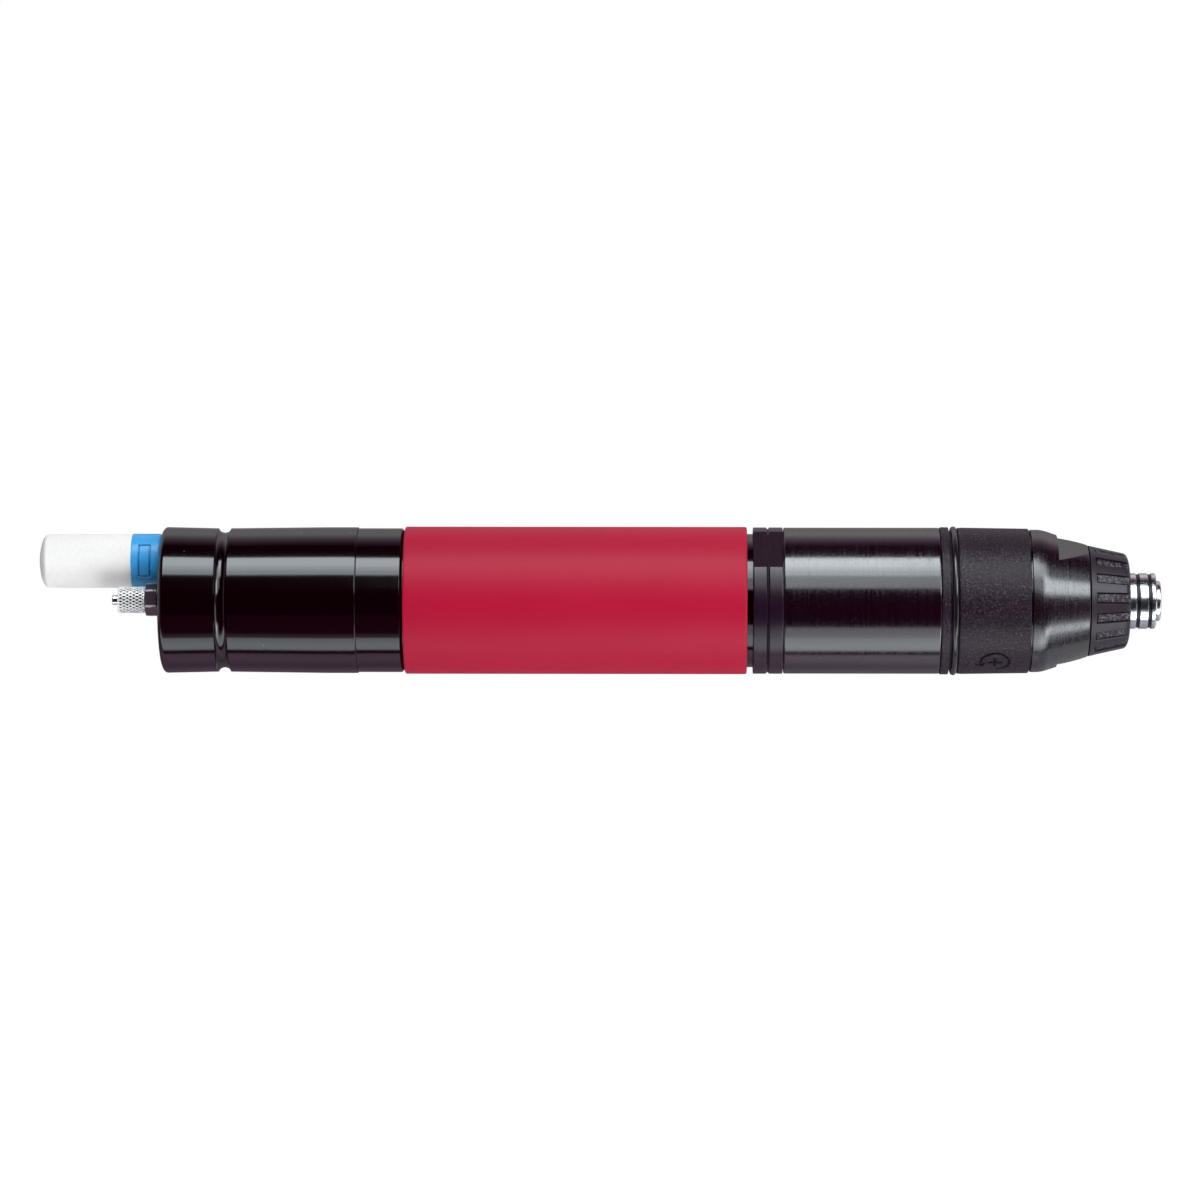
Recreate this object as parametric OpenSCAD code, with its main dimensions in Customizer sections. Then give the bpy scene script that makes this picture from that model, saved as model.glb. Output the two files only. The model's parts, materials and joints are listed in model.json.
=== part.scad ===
// Inline pneumatic screwdriver, as the separate pieces that it comes apart into.
// X runs along the tool and points at the bit, Z is up.
// The origin is on the spindle axis, at the mouth of the bit socket.

/* [Section lengths] */
// Tip of the chuck body in front of the chuck sleeve
tip_len = 1.2; // [0.8:0.1:2]
// Chuck sleeve that shows in front of the cap
chuck_show = 6.6; // [6:0.1:9]
// Front cap
cap_len = 10.2; // [9.5:0.1:14]
// Nose cone between the cap and the window sleeve
nose_len = 14.2; // [13:0.1:18]
// Window sleeve
window_len = 22.3; // [20:0.1:30]
// Clutch housing behind the window sleeve
clutch_len = 38.5; // [36:0.1:60]
// Collar of the gear housing
collar_len = 7.3; // [6:0.1:12]
// Bare neck of the motor housing in front of the grip
neck_len = 1.5; // [0.8:0.1:4]
// Grip sleeve
grip_len = 84.2; // [75:0.1:110]
// Rear collar of the motor housing
motor_collar_len = 11.6; // [8:0.1:16]
// Rear head
head_len = 48.4; // [46:0.1:60]

/* [Outer diameters] */
// Rear head and clutch housing
body_d = 36; // [35:0.1:40]
// Grip sleeve
grip_d = 36.34; // [35.5:0.01:42]
// Rear collar of the motor housing
motor_collar_d = 35.5; // [34:0.1:38]
// Motor housing tube, which shows at the neck
neck_d = 32.86; // [31:0.01:34]
// Collar of the gear housing
collar_d = 36.1; // [35:0.1:40]
// Window sleeve at its rear end
window_d = 36.1; // [35.5:0.1:38]
// Window sleeve at its front end
window_front_d = 35.6; // [35.2:0.1:38]
// Nose cone at its rear end
nose_d = 35.1; // [34:0.1:36]
// Nose cone at its front end
nose_front_d = 27.7; // [27:0.1:30]
// Front cap at its rear end
cap_d = 27.3; // [26:0.1:28]
// Front cap at its front edge, before the rounding
cap_front_d = 23.6; // [22.5:0.1:25]
// Chuck sleeve
chuck_d = 13.7; // [13:0.1:14.5]
// Tip of the chuck body
tip_d = 9.86; // [9.6:0.01:10.5]

/* [Rear head] */
// Round mounting groove, from the rear face to its middle
groove_back = 15.4; // [12:0.1:20]
// Radius of the round mounting groove
groove_r = 1.5; // [1:0.1:2]
// Depth of the round mounting groove
groove_depth = 1.42; // [0.6:0.01:1.45]
// Rear edge of the head, along the tool
edge_len = 1.35; // [0.5:0.05:3]
// Rear edge of the head, across the tool
edge_height = 2.3; // [0.5:0.1:3]
// Spigot of the head inside the motor housing
head_spigot_len = 13.6; // [12:0.1:18]
// Air inlet, sideways from the axis
inlet_y = 3; // [2:0.1:4]
// Air inlet, above the axis
inlet_z = -8.6; // [-9.5:0.1:-8]
// Bore of the G1/4 air inlet thread
inlet_d = 11.445; // [8.5:0.005:12]
// Depth of the air inlet thread
inlet_depth = 13; // [9:0.5:15]
// Air channel between the inlet and the valve
channel_d = 8; // [7:0.1:9]
// Exhaust channel beside the valve
exhaust_d = 4.8; // [4:0.1:4.8]
// Exhaust channel, above the axis
exhaust_z = 10.2; // [10:0.1:10.2]

/* [Silencer] */
// Silencer, above the axis
silencer_z = 9.6; // [9:0.1:10]
// Silencer
silencer_d = 13.5; // [12:0.1:15]
// Blue base of the silencer
silencer_base_len = 7.4; // [5:0.1:12]
// White element of the silencer
silencer_len = 23; // [15:0.5:40]
// Stud of the silencer, G1/8
silencer_stud_d = 8.6; // [7:0.1:9]
// Length of the silencer stud
silencer_stud_len = 6.5; // [4:0.1:8]

/* [Hose fitting] */
// Hose fitting, sideways from the axis
fitting_y = -9; // [-10:0.1:-8.5]
// Width of the hexagon across its flats
fitting_hex = 7; // [6:0.1:8]
// Length of the hexagon
fitting_hex_len = 2.7; // [2:0.1:4]
// Sealing washer thickness
washer_t = 0.6; // [0.4:0.1:1.2]
// Stud of the fitting, M5
fitting_stud_d = 4.2; // [3:0.1:5]
// Length of the fitting stud
fitting_stud_len = 5; // [3:0.1:7]
// Knurled union nut
nut_d = 6.5; // [6:0.1:8]
// Length of the union nut
nut_len = 6.7; // [5.5:0.1:10]
// Knurl peaks around the union nut
knurl_count = 24; // [12:1:30]
// Depth of the knurl
knurl_depth = 0.28; // [0.1:0.01:0.35]
// Hose nipple
nipple_d = 2.4; // [2:0.1:3]
// Hose nipple behind the union nut
nipple_show = 1.5; // [0.8:0.1:4]

/* [Start valve] */
// Travel of the push start
start_travel = 2.5; // [1.5:0.1:2.8]
// Push rod
rod_d = 2; // [1.5:0.1:2.2]
// Valve seat, behind the front of the head
seat_back = 5.9; // [4:0.1:8]
// Valve seat thickness
seat_len = 3.5; // [2:0.1:5]
// Bore of the valve seat
seat_d = 6; // [5:0.1:7]
// Valve chamber
chamber_d = 12; // [11:0.1:13]
// Valve plunger
plunger_d = 9; // [8:0.1:10]

/* [Vane motor] */
// Wall of the motor housing tube
tube_wall = 2.03; // [1.5:0.01:2.5]
// Wall of the cylinder liner, on average
liner_wall = 2.3; // [1.8:0.1:3]
// Rotor axis to liner axis
liner_offset = 1.25; // [0.8:0.05:1.4]
// Gap between the rotor and the liner at the tight side
rotor_gap = 0.15; // [0.1:0.05:0.4]
// End plates of the motor
plate_len = 8.5; // [8:0.1:12]
// Rotor shaft
shaft_d = 8.5; // [8.4:0.1:9]
// Vanes of the rotor
vane_count = 5; // [3:1:6]
// Vane thickness
vane_t = 1.9; // [1.2:0.1:2.4]
// Vane height
vane_h = 5.3; // [4:0.1:6]
// Outside of the rotor bearings
bearing_d = 19; // [18.5:0.1:22]
// Width of the rotor bearings
bearing_w = 6; // [5:0.1:7]
// Bearing balls
bearing_ball_d = 2.9; // [2:0.1:3]
// Balls in a bearing
bearing_ball_count = 8; // [6:1:9]

/* [Gear train] */
// Gear module
gear_m = 0.6; // [0.55:0.01:0.62]
// Teeth of a sun gear
sun_teeth = 12; // [12:3:15]
// Teeth of a planet gear
planet_teeth = 15; // [9:6:15]
// Length of the teeth
gear_face = 6; // [4:0.1:7]
// Thickness of the first carrier
carrier_1_t = 3.4; // [2.5:0.1:5]
// Thickness of the second carrier
carrier_2_t = 4; // [3:0.1:6]
// Planet pins
planet_pin_d = 3; // [2:0.1:4]
// Backlash between two gears
backlash = 0.14; // [0.1:0.01:0.2]
// Wall of the ring gear behind its teeth
ring_wall = 1.2; // [0.8:0.1:1.6]
// Wall of the gear housing around the ring gear
gear_wall = 1.3; // [0.8:0.1:1.6]
// Spigot of the gear housing inside the motor housing
gear_spigot_len = 6.2; // [5:0.1:9]
// Ring gear behind the front of the collar
ring_back = 5; // [4:0.1:5.5]
// Spanner flats of the collar, across
collar_flats = 33.6; // [31:0.1:35.5]
// Spanner flats of the collar, turned about the axis
collar_flats_turn = 41.5; // [0:0.5:180]
// Turned groove of the collar, behind its front edge
collar_groove_back = 3.7; // [2:0.1:5]

/* [Clutch] */
// Bearing web inside the clutch housing
web_len = 6; // [4:0.1:8]
// Hub of the second carrier
carrier_hub_d = 13; // [12:0.1:14]
// Hexagonal tail of the clutch hub, across its flats
tail_hex = 7; // [6:0.1:7.5]
// Room for the start spring
start_room = 6.5; // [6:0.1:8]
// Clutch hub, plate and nut
clutch_d = 18; // [16:0.1:22]
// Clutch balls
clutch_ball_d = 3; // [2:0.1:3.4]
// Clutch balls around the hub
clutch_ball_count = 6; // [3:1:8]
// Thickness of the hub flange and the clutch plate
clutch_plate_t = 3.2; // [2.5:0.1:4]
// Rear stem of the drive spindle
stem_d = 8; // [7:0.1:9]
// Length of the torque nut
torque_nut_len = 5; // [4:0.1:6]
// Travel of the torque nut to either side
torque_travel = 2.5; // [1:0.1:2.5]
// Key hole and torque nut, behind the front of the window sleeve
key_back = 10.9; // [10:0.1:13]
// Key hole of the window
key_d = 5; // [4:0.1:6]

/* [Window sleeve] */
// Wall of the window sleeve
window_wall = 1.75; // [1.4:0.05:2]
// Rear lip of the window sleeve, above its outside
lip_height = 0.1; // [0:0.05:0.4]
// Groove of the rubber ring, behind the front of the window sleeve
ring_groove_back = 18.8; // [14:0.1:19.5]
// Rubber ring section
sleeve_ring_t = 1.6; // [1:0.1:2]

/* [Nose and cap] */
// Thread stub of the clutch housing inside the nose cone
stub_len = 5.2; // [4:0.1:6.5]
// Straight rear part of the nose cone, up to where its taper starts
nose_land = 2.65; // [2.2:0.05:4]
// Radius of the rounding between that part and the taper
nose_round = 11.5; // [4:0.5:13]
// Spanner flats of the nose cone, across
nose_flats = 27; // [26:0.1:29]
// Length of these flats
nose_flats_len = 7.75; // [6:0.05:8.5]
// Spanner flats of the nose cone, turned about the axis
nose_flats_turn = 18; // [0:0.5:180]
// Front bush
bush_d = 16; // [14:0.1:18]
// Front part of the drive spindle
spindle_d = 11; // [10.6:0.1:11.4]
// Thread of the nose cone under the cap
cap_thread_d = 20; // [19:0.1:21]
// Length of that thread
cap_thread_len = 7; // [5:0.1:8]
// Grip recesses around the cap
rib_count = 16; // [12:1:22]
// First grip recess, turned about the axis
rib_turn = 19.3; // [0:0.1:30]
// Width of a grip recess
rib_w = 2.6; // [1.5:0.05:3]
// Depth of a grip recess
rib_depth = 0.5; // [0.2:0.05:0.8]
// Plain band behind the grip recesses
rib_back = 1.7; // [1:0.1:4]

/* [Chuck] */
// Bit socket, quarter-inch hexagon across its flats
bit_hex = 6.35; // [5:0.05:6.35]
// Depth of the bit socket
bit_depth = 13; // [10:0.1:13.2]
// Stem of the chuck body under its sleeve
chuck_stem_d = 9.2; // [8.8:0.1:9.4]
// Locking ball
lock_ball_d = 2.5; // [2:0.1:2.6]
// Locking ball behind the tip
lock_back = 6.8; // [6.5:0.1:7.5]
// Travel of the chuck sleeve
chuck_travel = 2.5; // [2:0.1:2.6]
// Length of the chuck sleeve
chuck_len = 12.6; // [12:0.1:13]
// Front turned groove of the chuck sleeve, behind the tip
front_groove_back = 2.81; // [2.7:0.01:3]
// Rear turned groove of the chuck sleeve, behind the tip
rear_groove_back = 5.72; // [5:0.01:6]
// Width of those grooves
chuck_groove_w = 1; // [0.5:0.1:1.2]

/* [Fits] */
// Radial gap between fitted pieces that stay put
fit_gap = 0.05; // [0.02:0.01:0.08]
// Radial gap of a shaft that turns or slides in its bore
run_gap = 0.06; // [0.03:0.01:0.1]
// Gap between pieces that pass each other freely
free_gap = 0.4; // [0.3:0.05:0.5]
// End play between faces that slide past each other
end_gap = 0.1; // [0.05:0.01:0.2]

/* [Hidden] */
$fn = 96;

// Front ends of the outer sections, from the tip backwards
x_chuck = -tip_len;
x_cap = x_chuck - chuck_show;
x_nose = x_cap - cap_len;
x_window = x_nose - nose_len;
x_clutch = x_window - window_len;
x_collar = x_clutch - clutch_len;
x_neck = x_collar - collar_len;
x_grip = x_neck - neck_len;
x_motor_collar = x_grip - grip_len;
x_head = x_motor_collar - motor_collar_len;
x_rear = x_head - head_len;

// Radii of the outer sections
body_r = body_d / 2;
grip_r = grip_d / 2;
neck_r = neck_d / 2;
collar_r = collar_d / 2;
window_r = window_d / 2;
nose_r = nose_d / 2;
cap_r = cap_d / 2;
chuck_r = chuck_d / 2;
past = 1;

// Rear head and start valve
motor_bore_r = neck_r - tube_wall;
head_spigot_r = motor_bore_r - fit_gap;
x_spigot = x_head + head_spigot_len;
x_seat = x_head - seat_back;
x_seat_rear = x_seat - seat_len;
seat_step = 0.5;
seat_r = chamber_d / 2 + seat_step;
x_plunger = x_seat_rear - end_gap / 2;
seal_t = 1.1;
plunger_t = 2.3;
plunger_stem_r = 1.6;
plunger_nose_r = 1.8;
seal_rim = 0.3;
valve_spring_len = 11.4;
x_chamber_rear = x_plunger - seal_t - plunger_t - valve_spring_len;
plunger_guide_len = 5;
x_strainer = x_rear + inlet_depth;
strainer_len = 6.5;
strainer_step = 0.8;
strainer_r = inlet_d / 2 - strainer_step;
seal_section_r = 0.7;
head_seal_back = 4;
head_groove_w = 2;

// Rear fittings
x_silencer = x_rear - silencer_base_len;
silencer_r = silencer_d / 2;
silencer_wall = 2.7;
silencer_bore_r = silencer_r - silencer_wall;
silencer_tail_len = 4;
x_hex = x_rear - washer_t;
x_hex_rear = x_hex - fitting_hex_len;
nut_wall = 0.85;
fitting_thread_r = nut_d / 2 - nut_wall;
fitting_thread_len = 3.4;
x_nut = x_hex_rear - end_gap;
x_nut_rear = x_nut - nut_len;
x_nipple = x_nut_rear - nipple_show;
nipple_wall = 0.5;
nipple_bore_r = nipple_d / 2 - nipple_wall;
nipple_seat = 2;
nipple_step = 0.2;
nipple_root_r = nipple_d / 2 - nipple_step;
x_thread_rear = x_hex_rear - fitting_thread_len;

// Vane motor
x_motor_front = x_neck - gear_spigot_len;
x_liner_front = x_motor_front - plate_len;
x_liner_rear = x_spigot + plate_len;
liner_r = motor_bore_r - fit_gap;
liner_bore_r = liner_r - liner_wall;
rotor_r = liner_bore_r - liner_offset - rotor_gap;
vane_set_in = 0.2;
slot_floor_gap = 0.1;
shaft_r = shaft_d / 2;
rod_r = rod_d / 2;
rod_hole_r = rod_r + free_gap;
bearing_r = bearing_d / 2;
bearing_pitch_r = (shaft_r + bearing_r) / 2;
bearing_ball_r = bearing_ball_d / 2;
race_gap = 1;
x_rear_bearing = x_spigot + end_gap + bearing_w;
x_front_bearing = x_motor_front - end_gap;

// Gear train
ring_teeth = sun_teeth + 2 * planet_teeth;
planet_count = 3;
pressure_angle = 20;
addendum = 0.9 * gear_m;
dedendum = 1.2 * gear_m;
gear_centre = gear_m * (sun_teeth + planet_teeth) / 2;
ring_tip_r = gear_m * ring_teeth / 2 - addendum;
ring_root_r = gear_m * ring_teeth / 2 + dedendum;
ring_r = ring_root_r + ring_wall;
gear_front_r = ring_r + fit_gap + gear_wall;
x_ring_rear = x_collar - ring_back;
gear_step = free_gap;
x_planet_a = x_ring_rear + gear_step + gear_face;
x_carrier_1 = x_planet_a + gear_step + carrier_1_t;
x_planet_b = x_carrier_1 + gear_step + gear_face;
x_carrier_2 = x_planet_b + gear_step + carrier_2_t;
carrier_recess = 0.9;
x_gear_front = x_carrier_2 + carrier_recess;
carrier_r = ring_tip_r - free_gap;
pin_floor = 0.6;

// Clutch
x_web_rear = x_gear_front + end_gap;
x_web_front = x_web_rear + web_len;
hub_reach = 0.5;
x_hub_socket = x_web_front + hub_reach;
x_hub_rear = x_hub_socket + start_room;
x_hub = x_hub_rear + clutch_plate_t;
clutch_pocket = 0.9;
clutch_face_gap = clutch_ball_d - 2 * clutch_pocket;
x_plate_rear = x_hub + clutch_face_gap;
x_plate = x_plate_rear + clutch_plate_t;
x_key = x_window - key_back;
x_torque_nut_rear = x_key - torque_nut_len / 2;
x_torque_nut = x_key + torque_nut_len / 2;
thrust_t = 1.5;
x_thrust = x_torque_nut_rear - end_gap;
x_thrust_rear = x_thrust - thrust_t;
clutch_r = clutch_d / 2;
stem_r = stem_d / 2;
clutch_ball_r = clutch_ball_d / 2;
clutch_rim = 0.9;
clutch_pitch_r = clutch_r - clutch_ball_r - clutch_rim;
tail_reach = 7;
x_tail = x_hub_socket - tail_reach;
x_socket_bottom = x_tail - start_travel - free_gap;
hub_floor = 0.6;
hub_depth = clutch_plate_t - hub_floor;
hub_ring_back = 1.2;
hub_ring_t = 0.7;
hub_ring_bite = 0.55;
carrier_bush_wall = 2.5;
clutch_rear_r = gear_front_r + fit_gap;
window_bore_r = window_r - window_wall;
ring_proud = 0.3;
clutch_spigot_r = window_bore_r - run_gap;
clutch_spigot_wall = 2.2;
clutch_bore_r = clutch_spigot_r - clutch_spigot_wall;
stub_step = 1;
stub_r = clutch_spigot_r - stub_step;

// Nose, cap and chuck
x_stub = x_window + stub_len;
bush_r = bush_d / 2;
spindle_r = spindle_d / 2;
bush_flange_t = 1.5;
bush_flange = 2;
bush_flange_r = bush_r + bush_flange;
x_bush_rear = x_stub - bush_flange_t;
bush_recess = 1.2;
x_bush = x_nose - bush_recess;
x_flange = x_bush_rear - end_gap;
flange_t = 3.4;
flange_r = 7.5;
cap_thread_r = cap_thread_d / 2;
cap_bore_r = chuck_r + free_gap;
x_cap_thread = x_nose + cap_thread_len;
tip_r = tip_d / 2;
chuck_stem_r = chuck_stem_d / 2;
x_chuck_rear = x_chuck - chuck_len;
spring_lead = 0.5;
x_spindle = x_chuck_rear - spring_lead;
chuck_stub_r = 3.5;
chuck_stub_len = 8.5;
lock_ball_r = lock_ball_d / 2;
lock_bite = 0.45;
lock_r = bit_hex / 2 - lock_bite + lock_ball_r;
lock_land_r = lock_r + lock_ball_r + run_gap;
chuck_wall = 0.95;
release_r = chuck_r - chuck_wall;
x_lock = -lock_back;
lock_margin = 0.15;
land_margin = 1.1;
release_margin = 0.5;
x_lock_land = x_lock + lock_ball_r + lock_margin;
x_lock_land_rear = x_lock - lock_ball_r - land_margin;
x_release = x_lock_land + chuck_travel + release_margin;

// Points of an arc in a profile of radius and place along X
function arc(r_mid, x_mid, size_r, size_x, from, to, steps = 6) =
  [for (i = [0:steps])
    let (a = from + (to - from) * i / steps)
    [r_mid + size_r * cos(a), x_mid + size_x * sin(a)]];

// Solid of revolution about the X axis, from points of radius and place along X
module turned(profile) {
  rotate([0, 90, 0])
    rotate_extrude()
      polygon(profile);
}

module rod_x(x0, x1, r, sides = 96) {
  translate([x0, 0, 0])
    rotate([0, 90, 0])
      cylinder(h = x1 - x0, r = r, $fn = sides);
}

module tube_x(x0, x1, r_out, r_in) {
  difference() {
    rod_x(x0, x1, r_out);
    rod_x(x0 - past, x1 + past, r_in);
  }
}

// Hexagonal bar along X with flats towards +Y and -Y
module hex_x(x0, x1, across) {
  rod_x(x0, x1, across / 2 / cos(30), 6);
}

module torus_x(x, r, section_r) {
  translate([x, 0, 0])
    rotate([0, 90, 0])
      rotate_extrude()
        translate([r, 0])
          circle(r = section_r, $fn = 32);
}

// Copies evenly spaced about the X axis, the first one above it
module around_x(count) {
  for (k = [0:count - 1])
    rotate([360 * k / count, 0, 0])
      children();
}

// Two opposite flats to cut away, turned about the X axis
module flats_x(x0, x1, across, turn) {
  for (side = [0, 180])
    rotate([turn + side, 0, 0])
      translate([x0, -body_d, across / 2])
        cube([x1 - x0, 2 * body_d, body_d]);
}

// Place of the middle of the wire along a coil spring with closed ends
function coil_rise(t, turns, dead, live) =
  t < 1 ? dead * t :
  t > turns - 1 ? dead + live * (turns - 2) + dead * (t - turns + 1) :
  dead + live * (t - 1);

// Coil spring between two faces, with as many live turns as fit the wanted pitch
module coil_spring(x0, x1, mean_r, wire_r, pitch) {
  sides = 8;
  steps = 14;
  dead = 2.1 * wire_r;
  live_len = x1 - x0 - 2 * wire_r - 2 * dead;
  live_turns = max(1, floor(live_len / pitch));
  turns = live_turns + 2;
  live = live_len / live_turns;
  rings = turns * steps;
  points = [
    for (i = [0:rings])
      let (a = 360 * i / steps, x = x0 + wire_r + coil_rise(i / steps, turns, dead, live))
      for (j = [0:sides - 1])
        let (b = 360 * j / sides, r = mean_r + wire_r * cos(b))
        [x + wire_r * sin(b), r * cos(a), r * sin(a)]
  ];
  wall = [
    for (i = [0:rings - 1], j = [0:sides - 1])
      let (k = (j + 1) % sides, near = i * sides, far = near + sides)
      each [[near + j, near + k, far + j], [near + k, far + k, far + j]]
  ];
  start = [for (j = [sides - 1:-1:0]) j];
  end = [for (j = [0:sides - 1]) rings * sides + j];
  polyhedron(points, concat(wall, [start], [end]));
}

// Half of a tooth's angle at a radius, from the involute of its base circle
function roll(a) = tan(a) * 180 / PI - a;
function tooth_half(r, teeth, slack, root) =
  let (pitch_r = gear_m * teeth / 2,
       base_r = pitch_r * cos(pressure_angle),
       a = r > base_r ? acos(base_r / r) : 0,
       relief = r < base_r ? 50 / teeth * (base_r - r) / (base_r - root) : 0)
  90 / teeth - slack / pitch_r * 180 / PI + roll(pressure_angle) - roll(a) - relief;

// Gear outline with a tooth at angle 0, thinned by slack on each flank
module gear_outline(teeth, root, tip, slack) {
  steps = 4;
  radii = [for (i = [0:steps]) root + (tip - root) * i / steps];
  polygon([
    for (k = [0:teeth - 1], side = [-1, 1], i = [0:steps])
      let (r = radii[side < 0 ? i : steps - i],
           a = 360 * k / teeth + side * tooth_half(r, teeth, slack, root))
      [r * cos(a), r * sin(a)]
  ]);
}

module gear_x(x0, x1, teeth) {
  pitch_r = gear_m * teeth / 2;
  translate([x0, 0, 0])
    rotate([0, 90, 0])
      linear_extrude(height = x1 - x0)
        gear_outline(teeth, pitch_r - dedendum, pitch_r + addendum, backlash / 4);
}

// Places of the planets of a stage, the first one below the axis
module planet_place(k) {
  rotate([360 * k / planet_count, 0, 0])
    translate([0, 0, -gear_centre])
      children();
}

module planet(x1, k) {
  color("silver")
    planet_place(k)
      difference() {
        gear_x(x1 - gear_face, x1, planet_teeth);
        rod_x(x1 - gear_face - past, x1 + past, planet_pin_d / 2 + run_gap);
      }
}

module planet_pins(x0, x1) {
  color("gray")
    for (k = [0:planet_count - 1])
      planet_place(k)
        rod_x(x0, x1, planet_pin_d / 2);
}

// Ball bearing pieces, with the balls in grooves of both rings
module race_groove(x) {
  torus_x(x - bearing_w / 2, bearing_pitch_r, bearing_ball_r + run_gap);
}

module bearing_outer(x) {
  color("lightsteelblue")
    difference() {
      tube_x(x - bearing_w, x, bearing_r, bearing_pitch_r + race_gap);
      race_groove(x);
    }
}

module bearing_inner(x) {
  color("lightsteelblue")
    difference() {
      tube_x(x - bearing_w, x, bearing_pitch_r - race_gap, shaft_r);
      race_groove(x);
    }
}

module bearing_balls(x) {
  color("gainsboro")
    around_x(bearing_ball_count)
      translate([x - bearing_w / 2, 0, bearing_pitch_r])
        sphere(r = bearing_ball_r);
}

// Rear fittings
module silencer_element() {
  dome = 1.9;
  set_in = 0.1;
  x_end = x_silencer - silencer_len;
  x_bottom = x_end + 3;
  edge_r = silencer_r - set_in;
  dome_r = (edge_r * edge_r + dome * dome) / 2 / dome;
  dome_half = asin(edge_r / dome_r);
  color("white")
    translate([0, 0, silencer_z])
      turned(concat(
        [[silencer_bore_r, x_silencer], [edge_r, x_silencer]],
        arc(0, x_end + dome_r, dome_r, -dome_r, 90 - dome_half, 90, 8),
        [[0, x_bottom], [silencer_bore_r, x_bottom]]));
}

module silencer_base() {
  edge = 0.9;
  bore_r = 2.4;
  stud_r = silencer_stud_d / 2 - fit_gap;
  tail_r = silencer_bore_r - fit_gap;
  color("steelblue")
    translate([0, 0, silencer_z])
      turned(concat(
        [[bore_r, x_silencer - silencer_tail_len], [tail_r, x_silencer - silencer_tail_len],
         [tail_r, x_silencer], [silencer_r, x_silencer]],
        arc(silencer_r - edge, x_rear - edge, edge, edge, 0, 90),
        [[stud_r, x_rear], [stud_r, x_rear + silencer_stud_len],
         [bore_r, x_rear + silencer_stud_len]]));
}

module at_fitting() {
  translate([0, fitting_y, 0])
    children();
}

module fitting_washer() {
  rim = 0.3;
  color("dimgray")
    at_fitting()
      tube_x(x_hex, x_rear, fitting_hex / 2 + rim, fitting_stud_d / 2 + fit_gap);
}

module fitting_body() {
  bevel = 0.45;
  slope = 0.6;
  corner_r = fitting_hex / 2 / cos(30);
  color([0.16, 0.13, 0.14])
    at_fitting()
      difference() {
        union() {
          intersection() {
            hex_x(x_hex_rear, x_hex, fitting_hex);
            turned([[0, x_hex_rear], [corner_r - bevel, x_hex_rear],
                    [corner_r + past, x_hex_rear + (bevel + past) * slope],
                    [corner_r + past, x_hex], [0, x_hex]]);
          }
          rod_x(x_hex - past, x_rear + fitting_stud_len, fitting_stud_d / 2 - fit_gap);
          rod_x(x_thread_rear, x_hex_rear + past, fitting_thread_r);
        }
        rod_x(x_nipple, x_rear + fitting_stud_len + past, nipple_bore_r);
        rod_x(x_nipple, x_thread_rear + nipple_seat, nipple_root_r);
      }
}

module hose_nipple() {
  edge = 0.25;
  r = nipple_d / 2;
  x_front = x_thread_rear + nipple_seat;
  color("silver")
    at_fitting()
      turned([[nipple_bore_r, x_nipple], [r - edge, x_nipple], [r, x_nipple + edge],
              [r, x_thread_rear], [nipple_root_r, x_thread_rear], [nipple_root_r, x_front],
              [nipple_bore_r, x_front]]);
}

// Diamond knurl: peaks and pits take turns around and along the nut
module knurled_nut() {
  around = 2 * knurl_count;
  along = 8;
  edge = 0.35;
  lip = 0.2;
  low_r = nut_d / 2 - knurl_depth;
  pitch = (nut_len - 2 * edge) / along;
  function row_x(j) =
    j == 0 ? x_nut_rear : j == along + 2 ? x_nut : x_nut_rear + edge + (j - 1) * pitch;
  function peak(i, j) = j > 0 && j < along + 2 && (i + j) % 2 == 0;
  points = [
    for (j = [0:along + 2], i = [0:around - 1])
      let (a = 360 * i / around, r = low_r + (peak(i, j) ? knurl_depth : 0))
      [row_x(j), r * cos(a), r * sin(a)]
  ];
  wall = [
    for (j = [0:along + 1], i = [0:around - 1])
      let (k = (i + 1) % around, a = j * around, b = a + around)
      each (i + j) % 2 == 0
        ? [[a + i, b + i, a + k], [b + i, b + k, a + k]]
        : [[a + i, b + i, b + k], [a + i, b + k, a + k]]
  ];
  rear = [for (i = [0:around - 1]) i];
  front = [for (i = [around - 1:-1:0]) (along + 2) * around + i];
  color("silver")
    at_fitting()
      difference() {
        polyhedron(points, concat(wall, [rear], [front]));
        rod_x(x_thread_rear - free_gap, x_nut + past, fitting_thread_r + run_gap);
        rod_x(x_nut_rear - past, x_nut, fitting_thread_r - lip);
      }
}

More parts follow.
